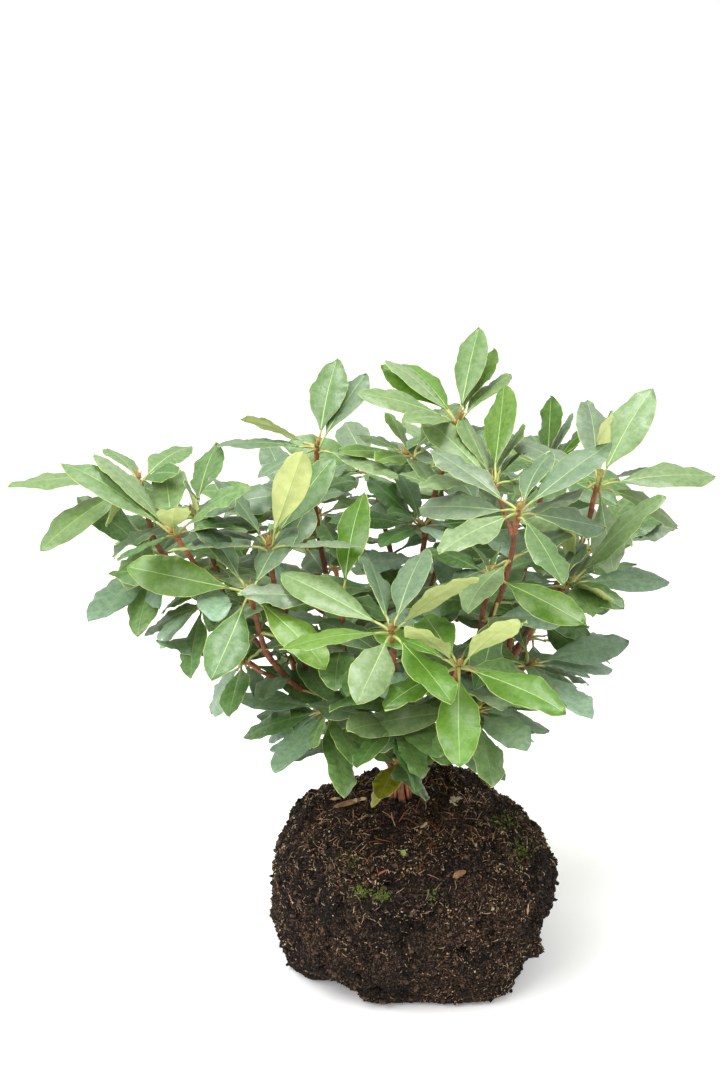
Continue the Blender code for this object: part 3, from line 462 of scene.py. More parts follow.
def blade(foot, tip, normal, width, r, arch=0.05, fold=0.12, twist=0.0, sweep=0.0, wave=0.0016, curl=0.0, wide=0.60, point=0.72):
    """Vertices of a blade from its foot to its tip, upper side along the normal."""
    chord = tip - foot
    length = np.linalg.norm(chord)
    d = chord / length
    n = unit(normal - d * (normal @ d))
    s = np.cross(d, n)
    p = math.log(0.5) / math.log(wide)
    f1, f2 = r.random() * 6.28, r.random() * 6.28
    k1, k2 = r.uniform(2.0, 3.4), r.uniform(2.0, 3.4)
    t = T0[:, None]
    q = np.array((-1.0, 0.0, -0.72, -0.46, -0.22, -0.0, 0.0, 0.22, 0.46, 0.72, 0.0, 1.0))[None, :] * np.ones((ROWS + 1, 1))

    def half(u):
        s = np.clip(u / 0.30, 0.0, 1.0)
        w = np.sin(math.pi * np.clip(u, 0.0, 1.0) ** p) ** point * (0.50 + 0.50 * s * s * (3.0 - 2.0 * s))
        return 0.5 * width * w + 0.0008 * (1.0 - u) + 0.00015

    w0 = half(T0)[:, None]
    q[:, 1:2], q[:, 10:11] = -(1.0 - 0.00058 / np.maximum(w0, 0.0014)), 1.0 - 0.00058 / np.maximum(w0, 0.0014)
    rib = (0.00050 * (1.0 - T0) ** 0.9 + 0.00010)[:, None] / np.maximum(w0, 0.0010)
    rib = np.minimum(rib, 0.16)
    q[:, 5:6], q[:, 6:7] = -rib, rib
    a = np.abs(q)
    u = t + 0.30 * a * t * (1.0 - t) * 1.5 * (1.0 - t)
    w = half(u)
    side_wave = np.where(q < 0, np.sin(2.0 * math.pi * k1 * u + f1) + 0.5 * np.sin(2.0 * math.pi * 2.3 * k1 * u + f2),
                         np.sin(2.0 * math.pi * k2 * u + f2) + 0.5 * np.sin(2.0 * math.pi * 2.1 * k2 * u + f1))
    w = w * (1.0 + 0.030 * side_wave + 0.014 * np.sin(2.0 * math.pi * 6.3 * u + 2.0 * f1 + 3.0 * (q > 0)))
    # vertical profile across: a channel along the midrib, edges turned down
    uneven = np.where(q < 0, 1.0 + r.uniform(-0.5, 0.5), 1.0 + r.uniform(-0.5, 0.5))
    z = w * (fold * uneven * a - (fold * 0.9 + 0.07) * a ** 2.4)
    z = z - 0.00045 * (a < 0.10) * (1.0 - u)
    veins = np.where((np.arange(ROWS + 1) % 2 == 0)[:, None], -1.0, 1.0)
    z = z + 0.00110 * veins * 4.0 * a * (1.0 - a) * np.sin(math.pi * np.clip(t, 0.0, 1.0)) ** 0.5
    far = np.clip(u * 1.4, 0.0, 1.0)
    z = z + wave * far * a ** 2.0 * side_wave
    z = z + 0.9 * wave * a * np.sin(2.0 * math.pi * 1.2 * u + f1 + f2)
    # the midrib's curve
    bow = 4.0 * u * (1.0 - u)
    lift = arch * length * bow - curl * length * np.clip(u - 0.7, 0.0, 1.0) ** 2 * 4.0
    slope = arch * 4.0 * (1.0 - 2.0 * u) - curl * 8.0 * np.clip(u - 0.7, 0.0, 1.0)
    ahead = d + n * slope[..., None]
    ahead /= np.linalg.norm(ahead, axis=-1)[..., None]
    nn = n - ahead * (ahead @ n)[..., None]
    nn /= np.linalg.norm(nn, axis=-1)[..., None]
    ss = np.cross(ahead, nn)
    ang = (twist * (u - 0.35))[..., None]
    s2 = ss * np.cos(ang) + nn * np.sin(ang)
    n2 = nn * np.cos(ang) - ss * np.sin(ang)
    mid = foot + d * (length * u)[..., None] + n * lift[..., None] + s * (sweep * length * bow)[..., None]
    top = mid + s2 * (q * w)[..., None] + n2 * z[..., None]
    thick = 0.00034 * (1.0 - a ** 2) + 0.00012 + (0.0011 * (1.0 - u) ** 0.8 + 0.0001) * (a <= rib + 1e-9)
    low = (top - n2 * thick[..., None])[:, 1:-1]
    return np.concatenate((top.reshape(-1, 3), low.reshape(-1, 3))), mid[:, 5], n2[:, 5], top


def petiole(start, lean, foot, d, n, r0=0.0017, r1=0.0012):
    """Stalk from the shoot to the blade, running a little under it."""
    gap = np.linalg.norm(foot - start)
    p1 = start + lean * gap * 0.35
    p2 = foot - d * gap * 0.4
    p3 = foot + d * 0.004 - n * 0.0008
    t = np.linspace(0.0, 1.0, 7)[:, None]
    path = (1 - t) ** 3 * start + 3 * (1 - t) ** 2 * t * p1 + 3 * (1 - t) * t * t * p2 + t ** 3 * p3
    radii = np.linspace(r0 * 1.25, r1, 7)
    radii[1:3] = r0, r0 * 0.94
    return tube(path, radii, 6)


# ------------------------------------------------------------ limbs
class Limb:
    def __init__(self, name, points, r0, r1):
        self.name, self.r0, self.r1 = name, r0, r1
        self.line, self.along = curve(points)
        self.length = self.along[-1]

    def at(self, s):
        return at(self.line, self.along, s)

    def radius(self, s):
        return self.r0 + (self.r1 - self.r0) * (np.clip(s, 0.0, self.length) / self.length) ** 0.8

    def heading(self, s):
        return unit(self.at(s + 0.003) - self.at(s - 0.003))


MIDDLE = {k: np.array(v[0]) for k, v in {**FRONT, **REAR}.items()}
limbs = {}
for name, (root, bends, whorl) in BOUGHS.items():
    if isinstance(root, tuple):
        parent = limbs[root[0]]
        first = parent.at(root[1] * parent.length)
        thick = min(0.0043, float(parent.radius(root[1] * parent.length)) * 0.92)
        points = [first]
    else:
        b = math.radians(root)
        thick = 0.0046
        foot = np.array((STEM_AT[0] + 0.019 * math.cos(b + 0.5), STEM_AT[1] + 0.019 * math.sin(b + 0.5), SEAT - 0.006))
        ring = np.array((STEM_AT[0] + RING * math.cos(b), STEM_AT[1] + RING * math.sin(b), FORK))
        points = [foot, ring, ring + np.array((0.0045 * math.cos(b), 0.0045 * math.sin(b), 0.022))]
    limbs[name] = Limb(name, points + [np.array(p) for p in bends] + [MIDDLE[whorl]], thick, 0.0029)
    limbs[name].whorl = whorl
served = {l.whorl for l in limbs.values()}

spots = [(l, s) for l in limbs.values() for s in np.arange(0.10 * l.length, 0.93 * l.length, 0.008)]
spot_at = np.array([l.at(s) for l, s in spots])
twigs = {}
for name in sorted(MIDDLE, key=lambda k: MIDDLE[k][2]):
    if name in served:
        continue
    m = MIDDLE[name]
    cost = np.linalg.norm(spot_at - m, axis=1) + 1.6 * np.maximum(0.0, spot_at[:, 2] - m[2] + 0.030)
    l, s = spots[int(np.argmin(cost))]
    q = l.at(s)
    reach = np.linalg.norm(m - q)
    along = l.heading(s)
    bend = q + (m - q) * 0.5 + along * reach * 0.10 - UP * reach * 0.10
    if name == "foliage_foot":
        q = np.array((STEM_AT[0] - 0.004, STEM_AT[1] - 0.012, 0.250))
        bend = (q + m) / 2 + np.array((0.0, -0.008, -0.002))
    twigs[name] = Limb("twig_" + name[8:], [q, bend, m], min(0.0034, float(l.radius(s)) * 0.85), 0.0024)
    twigs[name].whorl = name
shoots = {l.whorl: l for l in list(limbs.values()) + list(twigs.values())}

# ------------------------------------------------------------ what the view shows
depths = np.full((1080, 720), 9.0)
outline = np.zeros((1080, 720), bool)                # the masses seen from the front
for name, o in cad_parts.items():
    if not name.startswith("foliage"):
        continue
    co = np.zeros(len(o.data.vertices) * 3)
    o.data.vertices.foreach_get("co", co)
    xy, _ = pixels(co.reshape(-1, 3))
    for f in o.data.polygons:
        a, b, c = (xy[i] for i in f.vertices[:3])
        x0, x1 = int(max(0, min(a[0], b[0], c[0]))), int(min(719, max(a[0], b[0], c[0]) + 1))
        y0, y1 = int(max(0, min(a[1], b[1], c[1]))), int(min(1079, max(a[1], b[1], c[1]) + 1))
        det = (b[0] - a[0]) * (c[1] - a[1]) - (c[0] - a[0]) * (b[1] - a[1])
        if abs(det) < 1e-6 or x1 < x0 or y1 < y0:
            continue
        X, Y = np.meshgrid(np.arange(x0, x1 + 1), np.arange(y0, y1 + 1))
        u = ((X - a[0]) * (c[1] - a[1]) - (c[0] - a[0]) * (Y - a[1])) / det
        v = ((b[0] - a[0]) * (Y - a[1]) - (X - a[0]) * (b[1] - a[1])) / det
        outline[y0:y1 + 1, x0:x1 + 1] |= (u > -0.02) & (v > -0.02) & (u + v < 1.02)
for _ in range(5):
    outline[1:-1, 1:-1] |= outline[2:, 1:-1] | outline[:-2, 1:-1] | outline[1:-1, 2:] | outline[1:-1, :-2]
# Places inside the crown where the sky shows: left, right, top, bottom.
for x0, x1, y0, y1 in ((188, 202, 458, 500), (226, 262, 456, 484), (341, 362, 452, 462), (372, 400, 398, 440),
                       (440, 452, 430, 470), (325, 350, 503, 511), (294, 304, 549, 566), (329, 341, 569, 581),
                       (346, 400, 577, 600), (590, 601, 549, 571), (513, 526, 561, 579), (255, 275, 655, 690),
                       (516, 545, 629, 650)):
    outline[y0:y1, x0:x1] = False
packed = {}


def fine(top, k1=6, k2=4):
    """Many more points over a blade's upper side."""
    g = top.reshape(ROWS + 1, COLS, 3)
    i = np.linspace(0, ROWS, ROWS * k1 + 1)
    j = np.linspace(0, COLS - 1, (COLS - 1) * k2 + 1)
    i0, j0 = np.minimum(i.astype(int), ROWS - 1), np.minimum(j.astype(int), COLS - 2)
    fi, fj = (i - i0)[:, None, None], (j - j0)[None, :, None]
    return ((g[i0][:, j0] * (1 - fi) + g[i0 + 1][:, j0] * fi) * (1 - fj) + (g[i0][:, j0 + 1] * (1 - fi) + g[i0 + 1][:, j0 + 1] * fi) * fj).reshape(-1, 3)


def distance(p):
    q = p - EYE
    return q[:, 1] * TC - q[:, 2] * TS


def remember(top):
    p = fine(top)
    xy, _ = pixels(p)
    x, y = xy[:, 0].round().astype(int), xy[:, 1].round().astype(int)
    ok = (x >= 0) & (x < 720) & (y >= 0) & (y < 1080)
    np.minimum.at(depths, (y[ok], x[ok]), distance(p)[ok])
    for cell in {tuple(c) for c in np.floor(top.reshape(-1, 3) / 0.011).astype(int).tolist()}:
        packed[cell] = packed.get(cell, 0) + 1


def cost_of(top, middle):
    p = top.reshape(-1, 3)
    xy, _ = pixels(p)
    x = np.clip(xy[:, 0].round().astype(int), 0, 719)
    y = np.clip(xy[:, 1].round().astype(int), 0, 1079)
    seen = distance(p) < depths[y, x] + 0.004
    sky = seen & ~outline[y, x]
    over = seen & (posed[y, x] < 8.0)
    fills = seen & outline[y, x] & (depths[y, x] > 8.0)
    hits = sum(tuple(c) in packed for c in np.floor(p[::2] / 0.011).astype(int).tolist())
    away = (np.linalg.norm(p - middle, axis=1) > 0.035).mean()
    low = (p[:, 2] < 0.235).mean()
    foot = seen & (x > 364) & (x < 432) & (y > 760) & (y < 812)      # the stem's foot stays in view
    return 5.0 * foot.mean() + 4.0 * sky.mean() + 0.35 * seen.mean() + 1.3 * over.mean() - 1.2 * fills.mean() + 1.6 * hits / (len(p) / 2) * away + 6.0 * low


# ------------------------------------------------------------ leaves
heaps = {s: Heap("leaves_" + s, LEAF_MATS, "leaf_" + s) for s in ("fresh", "greyed", "old", "olive")}
FRESH_NODES = ("foliage_left_front", "foliage_centre_front", "foliage_low_front", "foliage_centre_left", "foliage_upper_right")


def slot_of(name):
    if name in FRESH_NODES:
        return "fresh"
    if name == "foliage_foot":
        return "olive"
    return "old" if any(w in name for w in ("low", "hanging", "under", "inner")) else "greyed"


leaf_total = [0]


def add_leaf(name, k, tip, normal, width, tone, r, commit=True, **shape):
    m = MIDDLE[name] if isinstance(name, str) else name[1]
    node = name if isinstance(name, str) else name[0]
    axis = AXIS[node] if isinstance(name, str) else name[2]
    d = unit(tip - m)
    reach = np.linalg.norm(tip - m)
    n = unit(normal - d * (normal @ d))
    stalk = min(0.021, (0.05 if node == "foliage_foot" else 0.16) * reach) * r.uniform(0.9, 1.1)
    foot = m + d * stalk
    v, mid, nn, top = blade(foot, tip, n, width, r, **shape)
    if not commit:
        return top
    heap = heaps[slot_of(node)]
    bladeid = r.choice(TONE_AT[tone])
    old = tone in OLD
    under = UNDER_DARK if old else UNDER
    rib = MIDRIB_OLD if old else MIDRIB
    kinds = np.array((bladeid, MARGIN if not old or r.random() < 0.4 else bladeid, rib, under, MIDRIB))[LEAF_KIND]
    heap.add(v, LEAF_QUADS, LEAF_TRIS, mq=kinds, mt=MARGIN)
    radial = unit(d - axis * (d @ axis) + 1e-6)
    start = m - axis * (0.0015 + 0.0011 * (k % 8)) + radial * 0.0014
    pv, pq, pt = petiole(start, unit(axis * 0.55 + radial), foot, d, n)
    heap.add(pv, pq, pt, mq=PETIOLE_OLD if old else PETIOLE, mt=PETIOLE)
    remember(top)
    leaf_total[0] += 1
    return top


AXIS = {name: l.heading(l.length - 0.004) for name, l in shoots.items()}
BLADE = 0.047                                         # usual width of a blade
bearings = {}
for name, leaves in [(n, l) for n, (_, l) in FRONT.items()] + list(BEHIND.items()):
    m = MIDDLE[name]
    bearings[name] = []
    for k, (px, py, way, shown, tone, reach) in enumerate(leaves):
        r = random.Random(f"{SEED}{name}{k}")
        reach = reach / 100.0
        ray = sight(px, py)
        o = EYE - m
        b = o @ ray
        root = b * b - (o @ o - reach * reach)
        tip = EYE + ray * (-b + (way * math.sqrt(root) if root > 0 else 0.0))
        d = unit(tip - m)
        side, up = across_up(d)
        mid = m + (tip - m) * 0.55
        view = unit(EYE - mid)
        facing = math.atan2(view @ side, view @ up)
        width = BLADE * min(1.12, reach / 0.125) * r.uniform(0.84, 0.94) * (1.45 if name == "foliage_foot" else 1.0)
        full = width if name == "foliage_foot" else BLADE
        off = math.acos(min(1.0, shown / (full * pixels(mid)[1][0])))
        turns = [facing + g * off + (math.pi if tone == "y" else 0.0) for g in (1, -1)]
        turns = [(a + math.pi) % (2 * math.pi) - math.pi for a in turns]
        roll = min(turns, key=abs)
        normal = up * math.cos(roll) + side * math.sin(roll)
        calm = min(1.0, shown / 22.0)
        add_leaf(name, k, tip, normal, width, tone, r,
                 arch=r.uniform(0.015, 0.06), fold=r.uniform(0.04, 0.20), twist=r.uniform(-0.25, 0.25),
                 sweep=r.uniform(-0.025, 0.025), wave=calm * r.uniform(0.0010, 0.0026), curl=r.choice((0.0, 0.0, 0.03, 0.06)),
                 wide=r.uniform(0.52, 0.60) if name != "foliage_foot" else 0.50, point=r.uniform(0.58, 0.80))
        bearings[name].append(math.degrees(math.atan2(d[1], d[0])) % 360.0)

front_count = leaf_total[0]
posed = depths.copy()


def grow(name, middle, axis, bearing, rise, reach, tone, k, r, tries=10, spread=16.0, lift=12.0, worst=9.0):
    """One leaf by rule: the try that hides least of the sky and meets fewest others."""
    best = None
    for _ in range(tries):
        b = math.radians(bearing + r.uniform(-spread, spread))
        e = math.radians(rise + r.uniform(-lift, lift))
        size = reach * r.uniform(0.9, 1.08)
        d = np.array((math.cos(e) * math.cos(b), math.cos(e) * math.sin(b), math.sin(e)))
        side, up = across_up(d)
        roll = math.radians(r.gauss(0.0, 20.0))
        shape = dict(arch=r.uniform(0.02, 0.08), fold=r.uniform(0.05, 0.24), twist=r.uniform(-0.35, 0.35),
                     sweep=r.uniform(-0.03, 0.03), wave=r.uniform(0.0010, 0.0030), curl=r.choice((0.0, 0.0, 0.03, 0.07)),
                     wide=r.uniform(0.52, 0.60), point=r.uniform(0.66, 0.90))
        who = name if middle is None else (name, middle, axis)
        m = MIDDLE[name] if middle is None else middle
        tip = m + d * size
        normal = up * math.cos(roll) + side * math.sin(roll)
        width = BLADE * min(1.1, size / 0.120) * r.uniform(0.90, 1.04)
        state = r.getstate()
        top = add_leaf(who, k, tip, normal, width, tone, r, commit=False, **shape)
        c = cost_of(top, m)
        face = unit(normal - d * (normal @ d))
        c += 2.0 * max(0.0, 0.18 - face @ unit(EYE - m - d * size * 0.6))
        if best is None or c < best[0]:
            best = (c, tip, normal, width, shape, state)
    if best[0] > worst:
        return False
    _, tip, normal, width, shape, state = best
    r.setstate(state)
    add_leaf(name if middle is None else (name, middle, axis), k, tip, normal, width, tone, r, **shape)
    return True


# the far side of the front whorls
for name in FRONT:
    r = random.Random(f"{SEED}fill{name}")
    have = sorted(bearings[name])
    tone_pool = [t for *_, t, _ in FRONT[name][1] if t != "y"] or ["m"]
    k = len(have)
    for a, b in zip(have, have[1:] + [have[0] + 360.0]):
        room = b - a
        more = int(room // 52.0) - 1 if room > 90.0 else 0
        for i in range(max(0, more)):
            bearing = a + room * (i + 1) / (more + 1)
            toward = math.cos(math.radians(bearing + 90.0))         # 1 straight at the viewer
            if toward > (0.80 if name != "foliage_foot" else 0.0):
                continue
            tone = r.choice(tone_pool + ["d", "g"])
            small = 0.62 if name == "foliage_foot" else 1.0
            grow(name, None, None, bearing, r.uniform(-6.0, 26.0), 0.112 * small, tone, k, r, worst=1.1)
            k += 1
# whorls of the far side
for name, (middle, first) in REAR.items():
    r = random.Random(f"{SEED}rear{name}")
    low = "low" in name
    for k in range(9):
        tone = r.choice("mgmgdpk") if not low else r.choice("deddg")
        grow(name, None, None, first + k * 137.5, r.uniform(-14.0, 30.0) if not low else r.uniform(-28.0, 8.0), 0.116, tone, k, r, spread=22.0, worst=2.0)
# last year's leaves, lower on the shoots
before = leaf_total[0]
for name, l in sorted(shoots.items()):
    r = random.Random(f"{SEED}old{name}")
    if l.length < 0.10 or name == "foliage_foot":
        continue
    for j, back in enumerate((0.062, 0.120, 0.178, 0.236)):
        if l.length < back + 0.05:
            continue
        place = l.at(l.length - back)
        axis = l.heading(l.length - back)
        first = r.uniform(0.0, 360.0)
        # Paler and sheen tones for old leaves high in the crown and, a little lower, on its left side where the light
        # falls most: painted light; the rest take the dark tones.
        bright = place[2] > 0.50 or (place[2] > 0.46 and place[0] < -0.13)
        for k in range(4 if j == 0 else 3):
            grow(name, place, axis, first + k * 137.5, r.uniform(-30.0, 10.0), 0.105, r.choice("mgpgde" if bright else "deddeg"), k, r, tries=12, spread=35.0, lift=16.0, worst=0.70)
older = leaf_total[0]
# Leaves along the shoots inside the crown, mostly in the darker x tone: painted shade.
r = random.Random(f"{SEED}inner")
for name, l in sorted(shoots.items()):
    if name == "foliage_foot":
        continue
    for s in np.arange(max(0.035, 0.22 * l.length), l.length - 0.030, 0.021):
        grow(name, l.at(s), l.heading(s), r.uniform(0.0, 360.0), r.uniform(-35.0, 35.0), 0.104, r.choice("dxdxm"), 3, r, tries=12, spread=180.0, lift=25.0, worst=0.02)
print("last year's:", older - before, "inner:", leaf_total[0] - older)
print("leaves:", front_count, "placed in front,", leaf_total[0], "in all")

for slot_name, heap in heaps.items():
    heap.build([n for n in MIDDLE if slot_of(n) == slot_name])


# ------------------------------------------------------------ bark
BARK_MATS = [mottled("bark", (104, 60, 44), (140, 88, 66), 190.0, 0.9, 0.62, 0.82, bump=0.0006, bump_scale=520.0, spec=0.3),
             mottled("bark_young", (134, 72, 48), (166, 112, 72), 240.0, 0.9, 0.50, 0.70, bump=0.0003, bump_scale=620.0, spec=0.35),
             mottled("bud_scale", (168, 146, 78), (150, 106, 60), 300.0, 0.9, 0.50, 0.65, bump=0.0002, bump_scale=700.0),
             mottled("bud_brown", (132, 74, 48), (166, 112, 66), 300.0, 0.9, 0.60, 0.80)]


def bark_tube(heap, l, start, end, mats, sides=10, step=0.0035, seed=0):
    steps = max(6, int((end - start) / step))
    s = np.linspace(start, end, steps + 1)
    path = l.at(s)
    path = path + 0.0006 * np.stack([noise(np.stack((s * 60.0, s * 0.0 + 3.3 * k, s * 0.0 + seed), 1), k) for k in range(3)], 1)
    scars = np.zeros(len(s))
    r = random.Random(f"{SEED}bark{l.name}")
    at_s = end - 0.010
    while at_s > start:
        scars += 0.16 * np.exp(-((s - at_s) / 0.0016) ** 2)
        at_s -= r.choice((0.0035, 0.004, 0.005, 0.034, 0.046))
    ridges = 1.0 + 0.07 * noise(np.stack((s * 170.0, s * 0 + seed, s * 0), 1), 9) + scars
    v, q, t = tube(path, l.radius(s), sides, ridges)
    # small knobs round the shoot
    n = (len(s)) * sides
    centre = np.repeat(path, sides, axis=0)
    out = v[:n] - centre
    bump = 1.0 + 0.10 * noise(v[:n] * 330.0, seed + 5) + 0.07 * noise(v[:n] * 800.0, seed + 6)
    v[:n] = centre + out * bump[:, None]
    ring = np.repeat(np.arange(len(s) - 1), sides)
    young = s[ring] > l.length - 0.030
    heap.add(v, q, t, mq=np.where(young, 1, 0), mt=0)


bark = Heap("bark", BARK_MATS, "bark")
for i, (name, l) in enumerate(sorted(limbs.items())):
    bark_tube(bark, l, 0.0, l.length + 0.002, BARK_MATS, seed=i)
bark.build([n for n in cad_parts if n.startswith("bough")])
twig_heap = Heap("twigs", BARK_MATS, "bark")
for i, (name, l) in enumerate(sorted(twigs.items())):
    bark_tube(twig_heap, l, 0.0, l.length + 0.002, BARK_MATS, sides=8, seed=40 + i)


def bud(heap, m, axis, r, size=1.0):
    """A pointed bud wrapped in scales, with a few narrow bracts round it."""
    length, fat = 0.0105 * size * r.uniform(0.85, 1.15), 0.0030 * size
    s = np.linspace(0.0, 1.0, 11)
    lean = unit(axis + 0.12 * np.array((r.uniform(-1, 1), r.uniform(-1, 1), 0.0)))
    path = m + axis * 0.001 + lean * (s * length)[:, None]
    radii = fat * np.sin(math.pi * np.clip(s * 0.86 + 0.12, 0, 1)) ** 0.8 * (1.0 + 0.10 * ((np.arange(11) % 2) * 2 - 1)) + 0.0002
    v, q, t = tube(path, radii, 8)
    heap.add(v, q, t, mq=2, mt=2)
    side, up = across_up(axis)
    for k in range(r.choice((3, 4, 5))):
        a = k * 2.4 + r.uniform(-0.3, 0.3)
        out = side * math.cos(a) + up * math.sin(a)
        tall = r.uniform(0.009, 0.020) * size
        p = np.stack([m + axis * (0.001 + tall * u) + out * (0.0022 + 0.0040 * u * u) for u in np.linspace(0, 1, 5)])
        wide = np.array((0.0010, 0.0011, 0.0009, 0.0006, 0.0001)) * size
        v, q, t = tube(p, wide, 5)
        heap.add(v, q, t, mq=2, mt=2)
    for k in range(9):                                  # brown scales under the whorl
        a = k * 2.4
        out = side * math.cos(a) + up * math.sin(a)
        base = m - axis * (0.004 + 0.0011 * k) + out * 0.0022
        p = np.stack([base + out * (0.0016 * u) + axis * (0.0036 * u) for u in np.linspace(0, 1, 4)])
        v, q, t = tube(p, np.array((0.0011, 0.0012, 0.0008, 0.0001)), 5)
        heap.add(v, q, t, mq=3, mt=3)


for name, l in sorted(shoots.items()):
    bud(twig_heap, MIDDLE[name], AXIS[name], random.Random(f"{SEED}bud{name}"), 0.7 if name == "foliage_foot" else 1.0)
twig_heap.build()

# the short stem: a flared core between the boughs' feet
stem_heap = Heap("stem", BARK_MATS, "bark")
rows = np.linspace(0.0, 1.0, 26)
core = np.stack([np.array((STEM_AT[0], STEM_AT[1], SEAT - 0.006 + (FORK - SEAT + 0.004) * u)) for u in rows])
wide = 0.0082 + 0.0020 * (1.0 - rows) ** 2.4 + 0.0034 * rows ** 3
v, q, t = tube(core, wide, 36)
n = 26 * 36
out = v[:n] - np.repeat(core, 36, axis=0)
ang = np.arctan2(out[:, 1], out[:, 0])
flute = 1.0 + 0.13 * np.cos(5.0 * ang + 0.8 + 8.0 * (v[:n, 2] - SEAT)) * np.repeat(1.0 - 0.5 * rows, 36) + 0.05 * noise(v[:n] * 260.0, 3)
v[:n] = np.repeat(core, 36, axis=0) + out * flute[:, None]
stem_heap.add(v, q, t, mq=0, mt=0)
r = random.Random(f"{SEED}foot")
for k in range(13):                                           # thin shoots pressed round the foot of the stem
    b = 2.0 * math.pi * (k + r.uniform(-0.3, 0.3)) / 13.0
    out, base = np.array((math.cos(b), math.sin(b), 0.0)), np.array((STEM_AT[0], STEM_AT[1], 0.0))
    far = r.uniform(0.011, 0.019)
    points = [base + far * out + np.array((0.0, 0.0, SEAT - 0.008)), base + (far * 0.8 + 0.001) * out + np.array((0.0, 0.0, SEAT + 0.012)),
              base + r.uniform(0.009, 0.012) * out + np.array((0.0, 0.0, FORK + 0.004))]
    l = Limb(f"foot_{k}", points, r.uniform(0.0014, 0.0026), 0.0018)
    bark_tube(stem_heap, l, 0.0, l.length, BARK_MATS, sides=8, seed=70 + k)
stem_heap.build(["stem_base"])


# ------------------------------------------------------------ root ball
def peat_material():
    m, b = material("peat", (46, 36, 30), 0.92, 0.15)
    n, link = m.node_tree.nodes, m.node_tree.links
    where = n.new("ShaderNodeTexCoord")
    big = n.new("ShaderNodeTexNoise")
    big.inputs["Scale"].default_value, big.inputs["Detail"].default_value = 16.0, 6.0
    link.new(where.outputs["Object"], big.inputs["Vector"])
    small = n.new("ShaderNodeTexNoise")
    small.inputs["Scale"].default_value, small.inputs["Detail"].default_value = 400.0, 6.0
    small.inputs["Roughness"].default_value = 0.78
    link.new(where.outputs["Object"], small.inputs["Vector"])
    ramp = n.new("ShaderNodeValToRGB")
    e = ramp.color_ramp.elements
    e[0].position, e[0].color = 0.38, (*linear((13, 11, 10)), 1.0)
    e[1].position, e[1].color = 0.57, (*linear((82, 66, 55)), 1.0)
    mid = e.new(0.48)
    mid.color = (*linear((27, 21, 18)), 1.0)
    high = e.new(0.68)
    high.color = (*linear((172, 146, 118)), 1.0)
    link.new(small.outputs["Fac"], ramp.inputs["Fac"])
    warm = n.new("ShaderNodeMix")
    warm.data_type = "RGBA"
    warm.blend_type = "MULTIPLY"
    warm.inputs[0].default_value = 0.85
    tint = n.new("ShaderNodeValToRGB")
    t = tint.color_ramp.elements
    t[0].position, t[0].color = 0.42, (0.34, 0.34, 0.36, 1.0)
    t[1].position, t[1].color = 0.60, (1.0, 0.90, 0.80, 1.0)
    link.new(big.outputs["Fac"], tint.inputs["Fac"])
    link.new(ramp.outputs["Color"], warm.inputs[6])
    link.new(tint.outputs["Color"], warm.inputs[7])
    link.new(warm.outputs[2], b.inputs["Base Color"])
    bump = n.new("ShaderNodeBump")
    bump.inputs["Strength"].default_value = 1.0
    bump.inputs["Distance"].default_value = 0.0024
    link.new(small.outputs["Fac"], bump.inputs["Height"])
    link.new(bump.outputs["Normal"], b.inputs["Normal"])
    return m


BALL_MATS = [peat_material(),
             mottled("crumb_dark", (11, 9, 8), (34, 27, 22), 300.0, 0.9, 0.85, 0.95, bump=0.0008, bump_scale=900.0, spec=0.2),
             mottled("crumb_brown", (96, 76, 60), (52, 41, 34), 300.0, 0.9, 0.85, 0.95, bump=0.0008, bump_scale=900.0, spec=0.2),
             mottled("fibre_tan", (202, 170, 134), (154, 120, 90), 200.0, 0.9, 0.70, 0.85, spec=0.3),
             mottled("fibre_brown", (108, 80, 60), (140, 100, 72), 200.0, 0.9, 0.70, 0.85, spec=0.3),
             mottled("root_red", (140, 72, 48), (168, 100, 68), 180.0, 0.9, 0.60, 0.80, spec=0.3),
             mottled("wood_chip", (134, 98, 68), (94, 66, 46), 130.0, 0.9, 0.65, 0.80, bump=0.0006, bump_scale=500.0, spec=0.3),
             mottled("chip_pale", (186, 178, 150), (140, 124, 96), 130.0, 0.9, 0.65, 0.80, spec=0.3),
             mottled("moss", (112, 124, 58), (80, 96, 42), 260.0, 0.9, 0.80, 0.95, spec=0.2),
             mottled("fallen_leaf", (176, 194, 110), (150, 168, 90), 120.0, 0.9, 0.50, 0.70),
             mottled("straw_pale", (224, 202, 168), (192, 164, 130), 200.0, 0.9, 0.70, 0.85, spec=0.3)]

ball_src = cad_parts["root_ball"]
me = ball_src.data.copy()
ball = bpy.data.objects.new("root_ball_relief", me)
bpy.context.scene.collection.objects.link(ball)
weld = ball.modifiers.new("weld", "WELD")
weld.merge_threshold = 0.0002
soft = ball.modifiers.new("round", "SUBSURF")
soft.levels = soft.render_levels = 2
fine_mesh = ball.modifiers.new("even", "REMESH")
fine_mesh.mode = "VOXEL"
fine_mesh.voxel_size = 0.0022
dg = bpy.context.evaluated_depsgraph_get()
even = bpy.data.meshes.new_from_object(ball.evaluated_get(dg))
ball.modifiers.clear()
ball.data = even
even.name = "root_ball_relief"
count = len(even.vertices)
co = np.zeros(count * 3)
even.vertices.foreach_get("co", co)
co = co.reshape(-1, 3)
nor = np.zeros(count * 3)
even.vertices.foreach_get("normal", nor)
nor = nor.reshape(-1, 3)
base_co = co.copy()
flat = np.clip(co[:, 2] / 0.020, 0.0, 1.0)                    # the underside stays flat
seat = np.clip((np.linalg.norm(co[:, :2] - np.array(STEM_AT), axis=1) - 0.018) / 0.02, 0.0, 1.0)
seat = np.where(co[:, 2] > 0.19, seat, 1.0)
f1, f2 = cells(co / 0.021 + 0.60 * np.stack([rough(co / 0.016, 2, 50 + k) for k in range(3)], 1), 3)
g1, g2 = cells(co / 0.0075 + 0.50 * np.stack([noise(co / 0.006, 60 + k) for k in range(3)], 1), 8)
